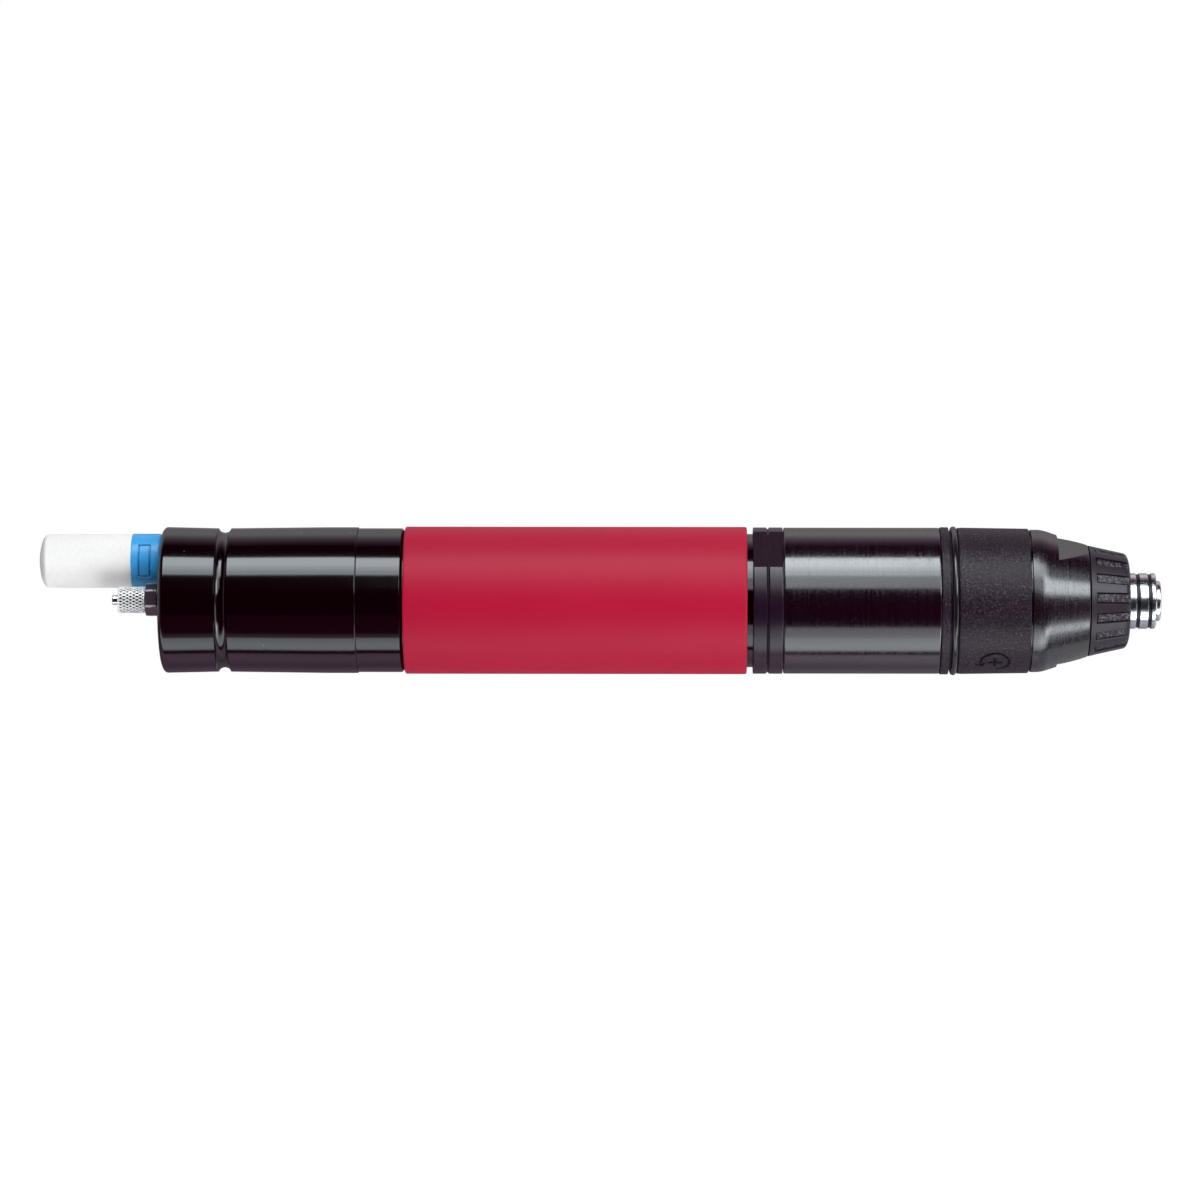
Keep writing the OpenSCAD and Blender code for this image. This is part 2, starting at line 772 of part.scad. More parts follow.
// Rear head
module rear_head() {
  groove_mid = body_r + groove_r - groove_depth;
  half = acos((groove_r - groove_depth) / groove_r);
  x_groove = x_rear + groove_back;
  x_ring = x_head + head_seal_back;
  ring_floor = head_spigot_r - 2 * seal_section_r;
  seam = 0.15;
  channel_wall = 2;
  color([0.06, 0.05, 0.06])
    difference() {
      turned(concat(
        [[0, x_rear]],
        arc(body_r - edge_height, x_rear + edge_len, edge_height, edge_len, -90, 0, 5),
        arc(groove_mid, x_groove, -groove_r, groove_r, -half, half, 8),
        [[body_r, x_head - seam], [body_r - seam, x_head], [head_spigot_r, x_head],
         [head_spigot_r, x_ring], [ring_floor, x_ring],
         [ring_floor, x_ring + head_groove_w], [head_spigot_r, x_ring + head_groove_w],
         [head_spigot_r, x_spigot], [0, x_spigot]]));
      // Valve bore, with its rear chamber and the guide of the plunger
      rod_x(x_seat_rear, x_spigot + past, seat_r);
      rod_x(x_chamber_rear, x_seat, chamber_d / 2);
      rod_x(x_chamber_rear - plunger_guide_len - start_travel - free_gap, x_seat,
            plunger_stem_r + run_gap);
      // Air inlet, its strainer and the channel to the rear chamber
      translate([0, inlet_y, inlet_z]) {
        rod_x(x_rear - past, x_strainer, inlet_d / 2);
        rod_x(x_rear, x_strainer + strainer_len, strainer_r + fit_gap);
        rod_x(x_rear + past, x_seat_rear - channel_wall, channel_d / 2);
      }
      // Exhaust channel and the seat of the silencer
      translate([0, 0, exhaust_z])
        rod_x(x_rear + past, x_spigot + past, exhaust_d / 2);
      translate([0, 0, silencer_z])
        rod_x(x_rear - past, x_rear + silencer_stud_len + past, silencer_stud_d / 2);
      // Signal port, which reads the pressure in front of the valve
      at_fitting()
        rod_x(x_rear - past, x_rear + fitting_stud_len + past, fitting_stud_d / 2);
      at_fitting()
        rod_x(x_rear, x_head + nipple_bore_r, nipple_bore_r);
      translate([x_head, fitting_y, 0])
        rotate([-90, 0, 0])
          cylinder(h = -fitting_y - seat_r + past, r = nipple_bore_r);
    }
}

module inlet_strainer() {
  wall = 0.6;
  hole_r = 0.7;
  hole_count = 6;
  color("goldenrod")
    translate([0, inlet_y, inlet_z])
      difference() {
        rod_x(x_strainer, x_strainer + strainer_len, strainer_r);
        rod_x(x_strainer - past, x_strainer + strainer_len - wall, strainer_r - wall);
        around_x(hole_count)
          translate([x_strainer, 0, strainer_r / 2])
            rod_x(0, strainer_len + past, hole_r);
      }
}

// Start valve
module valve_seat() {
  bevel = 0.8;
  bore_r = seat_d / 2;
  color("darkkhaki")
    turned([[bore_r, x_seat_rear], [seat_r, x_seat_rear], [seat_r, x_seat],
            [bore_r + bevel, x_seat], [bore_r, x_seat - bevel]]);
}

module valve_plunger() {
  x_disc = x_plunger - seal_t;
  x_back = x_disc - plunger_t;
  x_end = x_chamber_rear - plunger_guide_len;
  color("darkgoldenrod")
    turned([[0, x_end], [plunger_stem_r, x_end], [plunger_stem_r, x_back],
            [plunger_d / 2, x_back], [plunger_d / 2, x_disc], [plunger_nose_r, x_disc],
            [plunger_nose_r, x_plunger], [0, x_plunger]]);
}

module valve_seal() {
  color([0.12, 0.12, 0.12])
    tube_x(x_plunger - seal_t, x_plunger, plunger_d / 2 - seal_rim, plunger_nose_r);
}

module valve_spring() {
  wire_r = 0.45;
  mean_r = plunger_stem_r + wire_r + free_gap;
  color("silver")
    coil_spring(x_chamber_rear, x_plunger - seal_t - plunger_t - end_gap / 2, mean_r, wire_r, 2);
}

module push_rod() {
  color("lightgray")
    rod_x(x_plunger + end_gap / 2, x_tail - end_gap / 2, rod_r);
}

module head_seal() {
  color([0.1, 0.1, 0.1])
    torus_x(x_head + head_seal_back + head_groove_w / 2, head_spigot_r - seal_section_r,
            seal_section_r);
}

// Motor housing and grip
module motor_housing() {
  edge = 0.45;
  r = motor_collar_d / 2;
  color([0.07, 0.06, 0.07])
    turned([
      [motor_bore_r, x_head], [r - edge / 3, x_head], [r, x_head + edge / 3],
      [r, x_motor_collar - edge], [r - edge, x_motor_collar], [neck_r, x_motor_collar],
      [neck_r, x_neck], [motor_bore_r, x_neck]]);
}

module grip_sleeve() {
  edge = 0.6;
  inner = neck_r + fit_gap;
  color([0.7, 0.11, 0.22])
    turned(concat(
      [[inner, x_motor_collar]],
      arc(grip_r - edge, x_motor_collar + edge, edge, edge, -90, 0, 5),
      arc(grip_r - edge, x_grip - edge, edge, edge, 0, 90, 5),
      [[inner, x_grip]]));
}

// Vane motor
module end_plate(x0, x1, seat0, seat1) {
  port_r = 1.6;
  difference() {
    rod_x(x0, x1, liner_r);
    rod_x(x0 - past, x1 + past, shaft_r + free_gap);
    rod_x(seat0, seat1, bearing_r);
    // Air port and exhaust port beside the bearing
    for (z = [-1, 1])
      translate([0, 0, z * (bearing_r + liner_r) / 2])
        rod_x(x0 - past, x1 + past, port_r);
  }
}

module rear_end_plate() {
  color("slategray")
    end_plate(x_spigot, x_liner_rear, x_spigot - past, x_rear_bearing + end_gap);
}

module front_end_plate() {
  color("slategray")
    end_plate(x_liner_front, x_motor_front, x_front_bearing - bearing_w - end_gap,
              x_motor_front + past);
}

module cylinder_liner() {
  slot_count = 4;
  slot_w = 2.5;
  slot_pitch = (x_liner_front - x_liner_rear) / slot_count;
  color("darkgray")
    difference() {
      rod_x(x_liner_rear, x_liner_front, liner_r);
      translate([0, 0, liner_offset])
        rod_x(x_liner_rear - past, x_liner_front + past, liner_bore_r);
      // Exhaust slots along one side
      for (k = [0:slot_count - 1])
        translate([x_liner_rear + slot_pitch * (k + 0.5) - slot_w / 2, 0, -slot_w])
          cube([slot_w, liner_r + past, 2 * slot_w]);
    }
}

module rotor() {
  x0 = x_liner_rear + end_gap;
  x1 = x_liner_front - end_gap;
  slot_w = vane_t + 2 * run_gap;
  color("lightslategray")
    difference() {
      union() {
        rod_x(x0, x1, rotor_r);
        rod_x(x_spigot + end_gap, x_ring_rear, shaft_r);
        gear_x(x_ring_rear - past, x_planet_a, sun_teeth);
      }
      around_x(vane_count)
        translate([x0 - past, -slot_w / 2, rotor_r - vane_h - vane_set_in - slot_floor_gap])
          cube([x1 - x0 + 2 * past, slot_w, vane_h + past]);
      rod_x(x_spigot, x_planet_a + past, rod_hole_r);
    }
}

module rotor_vanes() {
  x0 = x_liner_rear + end_gap;
  x1 = x_liner_front - end_gap;
  color("saddlebrown")
    around_x(vane_count)
      translate([x0, -vane_t / 2, rotor_r - vane_h - vane_set_in])
        cube([x1 - x0, vane_t, vane_h]);
}

module rear_bearing_outer() {
  bearing_outer(x_rear_bearing);
}

module rear_bearing_inner() {
  bearing_inner(x_rear_bearing);
}

module rear_bearing_balls() {
  bearing_balls(x_rear_bearing);
}

module front_bearing_outer() {
  bearing_outer(x_front_bearing);
}

module front_bearing_inner() {
  bearing_inner(x_front_bearing);
}

module front_bearing_balls() {
  bearing_balls(x_front_bearing);
}

// Gear train
module gear_housing() {
  edge = 0.2;
  notch = 0.45;
  x_notch = x_collar - collar_groove_back;
  color([0.1, 0.08, 0.1])
    difference() {
      turned([
        [shaft_r + free_gap, x_motor_front], [motor_bore_r - fit_gap, x_motor_front],
        [motor_bore_r - fit_gap, x_neck], [collar_r - edge, x_neck], [collar_r, x_neck + edge],
        [collar_r, x_notch - notch], [collar_r - notch, x_notch], [collar_r, x_notch + notch],
        [collar_r, x_collar - edge], [collar_r - edge, x_collar], [gear_front_r, x_collar],
        [gear_front_r, x_gear_front], [ring_r + fit_gap, x_gear_front],
        [ring_r + fit_gap, x_ring_rear], [shaft_r + free_gap, x_ring_rear]]);
      flats_x(x_neck - past, x_collar, collar_flats, collar_flats_turn);
    }
}

module ring_gear() {
  color("darkgray")
    translate([x_ring_rear, 0, 0])
      rotate([0, 90, 0])
        linear_extrude(height = x_gear_front - x_ring_rear)
          difference() {
            circle(r = ring_r);
            gear_outline(ring_teeth, ring_tip_r, ring_root_r, -backlash / 4);
          }
}

module carrier_1() {
  color("slategray")
    difference() {
      union() {
        rod_x(x_carrier_1 - carrier_1_t, x_carrier_1, carrier_r);
        gear_x(x_carrier_1 - past, x_planet_b, sun_teeth);
      }
      rod_x(x_carrier_1 - carrier_1_t - past, x_planet_b + past, rod_hole_r);
      for (k = [0:planet_count - 1])
        planet_place(k)
          rod_x(x_carrier_1 - carrier_1_t - past, x_carrier_1 - pin_floor, planet_pin_d / 2);
    }
}

module carrier_1_pins() {
  planet_pins(x_planet_a - gear_face, x_carrier_1 - pin_floor);
}

module planet_a1() {
  planet(x_planet_a, 0);
}

module planet_a2() {
  planet(x_planet_a, 1);
}

module planet_a3() {
  planet(x_planet_a, 2);
}

module carrier_2() {
  color("slategray")
    difference() {
      union() {
        rod_x(x_carrier_2 - carrier_2_t, x_carrier_2, carrier_r);
        rod_x(x_carrier_2 - past, x_hub_socket, carrier_hub_d / 2);
      }
      hex_x(x_socket_bottom, x_hub_socket + past, tail_hex + 2 * run_gap);
      rod_x(x_carrier_2 - carrier_2_t - past, x_hub_socket, rod_hole_r);
      for (k = [0:planet_count - 1])
        planet_place(k)
          rod_x(x_carrier_2 - carrier_2_t - past, x_carrier_2 - pin_floor, planet_pin_d / 2);
    }
}

module carrier_2_pins() {
  planet_pins(x_planet_b - gear_face, x_carrier_2 - pin_floor);
}

module planet_b1() {
  planet(x_planet_b, 0);
}

module planet_b2() {
  planet(x_planet_b, 1);
}

module planet_b3() {
  planet(x_planet_b, 2);
}

module carrier_bush() {
  inner = carrier_hub_d / 2 + run_gap;
  color("peru")
    tube_x(x_web_rear, x_web_front, inner + carrier_bush_wall, inner);
}

// Clutch
module clutch_housing() {
  edge = 0.2;
  bush_seat_r = carrier_hub_d / 2 + run_gap + carrier_bush_wall;
  color([0.09, 0.09, 0.1])
    difference() {
      turned([
        [clutch_rear_r, x_collar], [body_r - edge, x_collar], [body_r, x_collar + edge],
        [body_r, x_clutch - edge], [body_r - edge, x_clutch], [clutch_spigot_r, x_clutch],
        [clutch_spigot_r, x_window], [stub_r, x_window], [stub_r, x_stub],
        [clutch_bore_r, x_stub], [clutch_bore_r, x_web_front], [bush_seat_r, x_web_front],
        [bush_seat_r, x_web_rear], [clutch_rear_r, x_web_rear]]);
      // Window for the torque key
      translate([x_key, 0, 0])
        cylinder(h = body_d, d = key_d);
    }
}

module clutch_hub() {
  color("lightslategray")
    difference() {
      union() {
        rod_x(x_hub_rear, x_hub, clutch_r);
        hex_x(x_tail, x_hub_rear + past, tail_hex);
      }
      rod_x(x_hub - hub_depth, x_hub + past, stem_r + run_gap);
      snap_groove(stem_r + hub_ring_bite + run_gap);
      around_x(clutch_ball_count)
        translate([x_hub + clutch_face_gap / 2, 0, clutch_pitch_r])
          sphere(r = clutch_ball_r + run_gap);
    }
}

// Square groove for the snap ring between the hub and the stem of the spindle
module snap_groove(r) {
  rod_x(x_hub - hub_ring_back - hub_ring_t - 2 * run_gap, x_hub - hub_ring_back, r);
}

module hub_ring() {
  slit = 1.6;
  color("dimgray")
    difference() {
      tube_x(x_hub - hub_ring_back - hub_ring_t - run_gap, x_hub - hub_ring_back - run_gap,
             stem_r + hub_ring_bite, stem_r - hub_ring_bite);
      // Gap of the snap ring
      translate([x_hub_rear, -slit / 2, 0])
        cube([clutch_plate_t, slit, body_r]);
    }
}

module clutch_balls() {
  color("gainsboro")
    around_x(clutch_ball_count)
      translate([x_hub + clutch_face_gap / 2, 0, clutch_pitch_r])
        sphere(r = clutch_ball_r);
}

module clutch_plate() {
  color("lightslategray")
    difference() {
      tube_x(x_plate_rear, x_plate, clutch_r, stem_r + run_gap);
      around_x(clutch_ball_count)
        translate([x_hub + clutch_face_gap / 2, 0, clutch_pitch_r])
          sphere(r = clutch_ball_r + run_gap);
    }
}

module clutch_spring() {
  wire_r = 0.75;
  mean_r = (stem_r + clutch_r) / 2;
  color("silver")
    coil_spring(x_plate, x_thrust_rear - end_gap / 2, mean_r, wire_r, 2.4);
}

module thrust_ring() {
  color("dimgray")
    tube_x(x_thrust_rear, x_thrust, clutch_r - free_gap, stem_r + run_gap);
}

module torque_nut() {
  key_pin_d = 1.8;
  key_depth = 2.6;
  key_holes = 8;
  color("darkkhaki")
    difference() {
      tube_x(x_torque_nut_rear, x_torque_nut, clutch_r, stem_r + run_gap);
      // Blind holes for the torque key
      around_x(key_holes)
        translate([x_key, 0, clutch_r - key_depth])
          cylinder(h = clutch_r, d = key_pin_d);
    }
}

module start_spring() {
  wire_r = 0.5;
  mean_r = (carrier_hub_d / 2 + tail_hex / 2 / cos(30)) / 2;
  color("silver")
    coil_spring(x_hub_socket + end_gap / 2, x_hub_rear, mean_r, wire_r, 1.6);
}

// Spindle and chuck
module drive_spindle() {
  x_rear_end = x_hub - hub_depth + end_gap;
  color("lightgray")
    difference() {
      union() {
        rod_x(x_flange - past, x_spindle, spindle_r);
        rod_x(x_flange - flange_t, x_flange, flange_r);
        rod_x(x_rear_end, x_flange - flange_t + past, stem_r);
      }
      rod_x(x_spindle - chuck_stub_len, x_spindle + past, chuck_stub_r);
      difference() {
        snap_groove(stem_r + past);
        rod_x(x_rear_end - past, x_hub + past, stem_r - hub_ring_bite - run_gap);
      }
    }
}

module chuck_body() {
  round = 0.5;
  mouth = 0.8;
  mouth_rim = 0.15;
  mouth_r = bit_hex / 2 / cos(30) + mouth_rim;
  color("silver")
    difference() {
      turned(concat(
        [[0, x_spindle - chuck_stub_len], [chuck_stub_r, x_spindle - chuck_stub_len],
         [chuck_stub_r, x_spindle], [chuck_stem_r, x_spindle],
         [chuck_stem_r, x_chuck + end_gap], [tip_r, x_chuck + end_gap]],
        arc(tip_r - round, -round, round, round, 0, 90, 5),
        [[0, 0]]));
      hex_x(-bit_depth, past, bit_hex);
      turned([[0, -mouth], [mouth_r - mouth, -mouth], [mouth_r + past, past], [0, past]]);
      translate([x_lock, 0, 0])
        cylinder(h = chuck_r, r = lock_ball_r + run_gap);
    }
}

module lock_ball() {
  color("gainsboro")
    translate([x_lock, 0, lock_r])
      sphere(r = lock_ball_r);
}

module chuck_sleeve() {
  depth = 0.25;
  front_len = 1.1;
  front_rim = 0.6;
  rear_edge = 0.2;
  front_r = chuck_stem_r + front_rim;
  half = chuck_groove_w / 2;
  land_r = chuck_stem_r + run_gap;
  groove_edge = 0.15;
  grooves = [
    for (x = [-rear_groove_back, -front_groove_back])
      each [[chuck_r, x - half], [chuck_r - depth, x - half + groove_edge],
            [chuck_r - depth, x + half - groove_edge], [chuck_r, x + half]]
  ];
  color("silver")
    turned(concat(
      [[release_r, x_chuck_rear], [chuck_r - rear_edge, x_chuck_rear],
       [chuck_r, x_chuck_rear + rear_edge]],
      grooves,
      arc(front_r, x_chuck - front_len, chuck_r - front_r, front_len, 0, 90, 5),
      [[land_r, x_chuck], [land_r, x_release], [release_r, x_release],
       [release_r, x_lock_land], [lock_land_r, x_lock_land], [lock_land_r, x_lock_land_rear],
       [release_r, x_lock_land_rear]]));
}

module chuck_spring() {
  wire_r = 0.3;
  mean_r = (chuck_stem_r + release_r) / 2;
  color("silver")
    coil_spring(x_spindle, x_lock_land_rear - end_gap / 2, mean_r, wire_r, 1.1);
}

// Window sleeve
module window_sleeve() {
  x0 = x_clutch + end_gap;
  x1 = x_window - end_gap;
  front_r = window_front_d / 2;
  lip_r = window_r + lip_height;
  side_gap = 0.5;
  groove_half = sleeve_ring_t / 2 + side_gap;
  x_groove = x_window - ring_groove_back;
  floor_r = window_r + ring_proud - sleeve_ring_t;
  round = 0.35;
  closed_turn = -120;
  color([0.17, 0.12, 0.16])
    difference() {
      turned(concat(
        [[window_bore_r, x0], [lip_r - round, x0], [lip_r, x0 + round],
         [lip_r, x_groove - groove_half], [floor_r, x_groove - groove_half],
         [floor_r, x_groove + groove_half], [window_r, x_groove + groove_half]],
        arc(front_r - round, x1 - round, round, round, 0, 90, 4),
        [[window_bore_r, x1]]));
      // Key hole, turned away from the window while the sleeve is closed
      translate([x_key, 0, 0])
        rotate([closed_turn, 0, 0])
          cylinder(h = body_d, d = key_d);
    }
}

module sleeve_ring() {
  color([0.05, 0.05, 0.05])
    torus_x(x_window - ring_groove_back, window_r + ring_proud - sleeve_ring_t / 2,
            sleeve_ring_t / 2);
}

// Nose cone, front bush and cap
module nose_cone() {
  edge = 0.25;
  front_r = nose_front_d / 2;
  x_taper = x_window + nose_land;
  taper = atan((nose_r - front_r) / (x_nose - edge - x_taper));
  x_curve = x_taper - nose_round * tan(taper / 2);
  color([0.2, 0.2, 0.21])
    difference() {
      turned(concat(
        [[stub_r + fit_gap, x_window], [nose_r - edge, x_window], [nose_r, x_window + edge]],
        arc(nose_r - nose_round, x_curve, nose_round, nose_round, 0, taper),
        [[front_r, x_nose - edge], [front_r - edge, x_nose],
         [cap_thread_r, x_nose], [cap_thread_r, x_cap_thread], [cap_bore_r, x_cap_thread],
         [cap_bore_r, x_bush], [bush_r, x_bush], [bush_r, x_stub],
         [stub_r + fit_gap, x_stub]]));
      flats_x(x_nose - nose_flats_len, x_nose, nose_flats, nose_flats_turn);
    }
}

module front_bush() {
  color("peru")
    difference() {
      union() {
        rod_x(x_bush_rear, x_bush, bush_r);
        rod_x(x_bush_rear, x_stub, bush_flange_r);
      }
      rod_x(x_bush_rear - past, x_bush + past, spindle_r + run_gap);
    }
}

// Ribbed cap: grip recesses follow the taper and run out at the front edge
module front_cap() {
  front_round = 1.5;
  round_height = 3.2;
  edge = 0.2;
  half = rib_w / 2;
  flare = 0.4;
  rib_top = 2;
  x0 = x_nose + end_gap;
  front_r = cap_front_d / 2;
  x_corner = x_cap - front_round;
  taper = atan((cap_r - front_r) / (x_corner - x0));
  color([0.18, 0.14, 0.17])
    difference() {
      turned(concat(
        [[cap_thread_r + run_gap, x0], [cap_r - edge, x0], [cap_r, x0 + edge]],
        arc(front_r - round_height, x_corner, round_height, front_round, 0, 90, 6),
        [[cap_bore_r, x_cap], [cap_bore_r, x_cap_thread + free_gap],
         [cap_thread_r + run_gap, x_cap_thread + free_gap]]));
      rotate([rib_turn, 0, 0])
        around_x(rib_count)
          translate([x0, 0, cap_r - rib_depth])
            rotate([0, taper, 0])
              translate([rib_back, 0, 0])
                rotate([90, 0, 90])
                  linear_extrude(height = cap_len + past)
                    polygon([[flare / 2 - half, 0], [half - flare / 2, 0],
                             [half + flare, rib_top], [-half - flare, rib_top]]);
    }
}

silencer_element();
silencer_base();
fitting_washer();
fitting_body();
hose_nipple();
knurled_nut();
rear_head();
inlet_strainer();
valve_seat();
valve_plunger();
valve_seal();
valve_spring();
head_seal();
motor_housing();
grip_sleeve();
rear_end_plate();
rear_bearing_outer();
rear_bearing_inner();
rear_bearing_balls();
cylinder_liner();
rotor();
rotor_vanes();
front_end_plate();
front_bearing_outer();
front_bearing_inner();
front_bearing_balls();
push_rod();
gear_housing();
ring_gear();
carrier_1();
carrier_1_pins();
planet_a1();
planet_a2();
planet_a3();
carrier_2();
carrier_2_pins();
planet_b1();
planet_b2();
planet_b3();
carrier_bush();
clutch_housing();
clutch_hub();
clutch_balls();
clutch_plate();
clutch_spring();
thrust_ring();
torque_nut();
hub_ring();
start_spring();
drive_spindle();
front_bush();
window_sleeve();
sleeve_ring();
nose_cone();
front_cap();
chuck_body();
chuck_sleeve();
chuck_spring();
lock_ball();
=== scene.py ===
"""Inline pneumatic screwdriver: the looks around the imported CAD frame.

Lengths are in millimetres until a mesh is filled, X runs along the tool towards the bit,
and angles about the tool start at the top and turn towards the camera.
"""
import json
import math

import bmesh
import bpy
import numpy as np
from mathutils import Matrix, Vector
from mathutils.geometry import delaunay_2d_cdt


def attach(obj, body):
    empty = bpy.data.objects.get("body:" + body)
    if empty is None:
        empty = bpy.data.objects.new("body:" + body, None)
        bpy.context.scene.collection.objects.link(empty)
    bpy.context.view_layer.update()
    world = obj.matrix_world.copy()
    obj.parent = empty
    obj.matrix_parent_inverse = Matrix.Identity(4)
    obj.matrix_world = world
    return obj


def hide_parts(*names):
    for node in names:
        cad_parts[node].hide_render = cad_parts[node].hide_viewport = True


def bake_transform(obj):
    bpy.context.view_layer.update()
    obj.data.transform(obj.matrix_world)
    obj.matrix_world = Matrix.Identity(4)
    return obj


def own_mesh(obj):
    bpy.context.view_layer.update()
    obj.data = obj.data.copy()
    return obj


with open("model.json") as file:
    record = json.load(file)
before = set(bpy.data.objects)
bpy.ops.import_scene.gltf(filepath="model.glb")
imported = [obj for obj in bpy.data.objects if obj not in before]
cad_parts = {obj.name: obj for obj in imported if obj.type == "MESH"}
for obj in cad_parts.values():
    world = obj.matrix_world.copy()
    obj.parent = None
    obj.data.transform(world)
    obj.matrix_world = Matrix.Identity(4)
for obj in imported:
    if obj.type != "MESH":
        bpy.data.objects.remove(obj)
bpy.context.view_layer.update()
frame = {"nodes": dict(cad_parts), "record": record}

MM = 0.001
TURN = 2 * math.pi

# Camera, level with the tool and a little nearer to the bit than the middle of the picture
VIEW_CENTRE, VIEW_HEIGHT = -138.0, 0.1
VIEW_WIDTH = 296.2
CAMERA_AWAY = 1330.0
CAMERA_ASIDE = 20.0
CAMERA_ROLL = 0.066
SENSOR = 36.0

camera_data = bpy.data.cameras.new("camera")
camera_data.sensor_width = SENSOR
camera_data.lens = SENSOR * CAMERA_AWAY / VIEW_WIDTH
camera_data.clip_start, camera_data.clip_end = 0.05, 20.0
camera = bpy.data.objects.new("camera", camera_data)
bpy.context.scene.collection.objects.link(camera)
eye = Vector((VIEW_CENTRE + CAMERA_ASIDE, -CAMERA_AWAY, VIEW_HEIGHT)) * MM
look = Vector((VIEW_CENTRE, 0, VIEW_HEIGHT)) * MM - eye
camera.rotation_mode = "QUATERNION"
camera.location = eye
roll = Matrix.Rotation(math.radians(CAMERA_ROLL), 4, "Z").to_quaternion()
camera.rotation_quaternion = look.to_track_quat("-Z", "Y") @ roll
bpy.context.scene.camera = camera
bpy.context.scene.view_settings.view_transform = "Standard"

# Stations along the tool, and the radii that neighbours share
X_SLEEVE, X_CAP, X_NOSE, X_WINDOW, X_CLUTCH = -1.2, -7.8, -18.0, -32.2, -54.5
X_COLLAR, X_NECK, X_GRIP, X_MOTOR, X_HEAD, X_REAR = -93.0, -100.3, -101.8, -186.0, -197.6, -246.0
X_SPIGOT, X_KEY, X_CLUTCH_FRONT, X_VALVE_END = -184.0, -43.1, -27.0, -221.85
BODY_R, TUBE_R, TUBE_BORE, SPIGOT_R = 18.0, 16.43, 14.4, 14.35
KEY_R = 2.5

# Axes along the tool at the rear end, as y and z
FITTING = (-9.0, 0.0)
SILENCER = (0.0, 9.6)
INLET = (3.0, -8.6)


# Profiles and surfaces
HOLD = 0.15


def rounded(corners, steps=5):
    """Closed profile from rows of x, radius and rounding.

    Each corner is cut back on both sides by t = f / tan(a / 2), where f is its rounding and a its
    inner angle, and a parabola joins the two cut points. A point a little beyond each cut keeps
    the straight surfaces flat right up to their roundings.
    """
    rows = np.array(corners, float)
    p, f = rows[:, :2], rows[:, 2]
    back, on = np.roll(p, 1, 0) - p, np.roll(p, -1, 0) - p
    back_len, on_len = np.linalg.norm(back, axis=1), np.linalg.norm(on, axis=1)
    u, v = back / back_len[:, None], on / on_len[:, None]
    half = np.arccos(np.clip((u * v).sum(1), -1, 1)) / 2
    short = np.minimum(back_len, on_len)
    t = np.minimum(f / np.tan(half), 0.49 * short)[:, None]
    beyond = np.where(f > 0, np.minimum(t[:, 0] + HOLD, 0.495 * short), 0)[:, None]
    s = np.linspace(0, 1, steps)[None, :, None]
    arc = (1 - s) ** 2 * (p + u * t)[:, None] + 2 * s * (1 - s) * p[:, None] + s**2 * (p + v * t)[:, None]
    path = np.concatenate([(p + u * beyond)[:, None], arc, (p + v * beyond)[:, None]], 1).reshape(-1, 2)
    return path[np.linalg.norm(path - np.roll(path, 1, 0), axis=1) > 1e-6]


def refined(profile, step):
    """Closed profile with points added evenly, so that no span is longer than step."""
    ahead = np.roll(profile, -1, 0)
    count = np.maximum(1, np.ceil(np.linalg.norm(ahead - profile, axis=1) / step)).astype(int)
    i = np.repeat(np.arange(len(profile)), count)
    t = (np.arange(count.sum()) - np.repeat(np.cumsum(count) - count, count)) / count[i]
    return profile[i] + t[:, None] * (ahead[i] - profile[i])


def even(sides):
    """Angles evenly round the tool."""
    return np.arange(sides) * TURN / sides


def finer(angles, middle, reach, step):
    """Angles with a finer run of them within reach of a middle."""
    away = (angles - middle + math.pi) % TURN - math.pi
    run = np.linspace(-reach, reach, 2 * int(math.ceil(reach / step)) + 1)
    return np.sort(np.concatenate([angles[np.abs(away) > reach + step / 2], (middle + run) % TURN]))


def place(x, r, a, centre=(0.0, 0.0)):
    """Points at x, radius r and angle a: (x, y - r sin a, z + r cos a)."""
    return np.stack([x, centre[0] - r * np.sin(a), centre[1] + r * np.cos(a)], -1)


def polar(points, centre=(0.0, 0.0)):
    """Each point's x, radius and angle about the tool, or about another axis along it."""
    x, y, z = points.T
    y, z = y - centre[0], z - centre[1]
    return x, np.hypot(y, z), np.arctan2(-y, z) % TURN


def level(x, r):
    """Points of a profile at the stations x, all at the radius r."""
    return np.stack([x, np.full(len(x), r)], 1)


def grid_faces(rows, sides):
    """Four-sided faces of a grid that closes on itself in both directions."""
    i, j = np.meshgrid(np.arange(rows), np.arange(sides), indexing="ij")
    i_on, j_on = (i + 1) % rows, (j + 1) % sides
    return np.stack([i * sides + j, i * sides + j_on, i_on * sides + j_on, i_on * sides + j], -1)


def revolved(profile, angles, shape=None, centre=(0.0, 0.0)):
    """Grid of profile points by angles, with its faces; shape(x, r, a) may change the radius."""
    rows, sides = len(profile), len(angles)
    x = np.repeat(profile[:, :1], sides, 1)
    r = np.repeat(profile[:, 1:], sides, 1)
    a = np.repeat(angles[None, :], rows, 0)
    r = r if shape is None else shape(x, r, a)
    return place(x, r, a, centre).reshape(-1, 3), grid_faces(rows, sides)


def lathe(profile, sides=256, shape=None, centre=(0.0, 0.0)):
    """Closed ring or solid turned from a closed profile."""
    points, faces = revolved(profile, even(sides), shape, centre)
    return points, faces.reshape(-1, 4)


def open_lathe(profile, sides, shape=None, centre=(0.0, 0.0)):
    """Surface turned from a profile that isn't closed: the grid without its last row of faces."""
    points, faces = revolved(profile, even(sides), shape, centre)
    return points, faces[:-1].reshape(-1, 4)


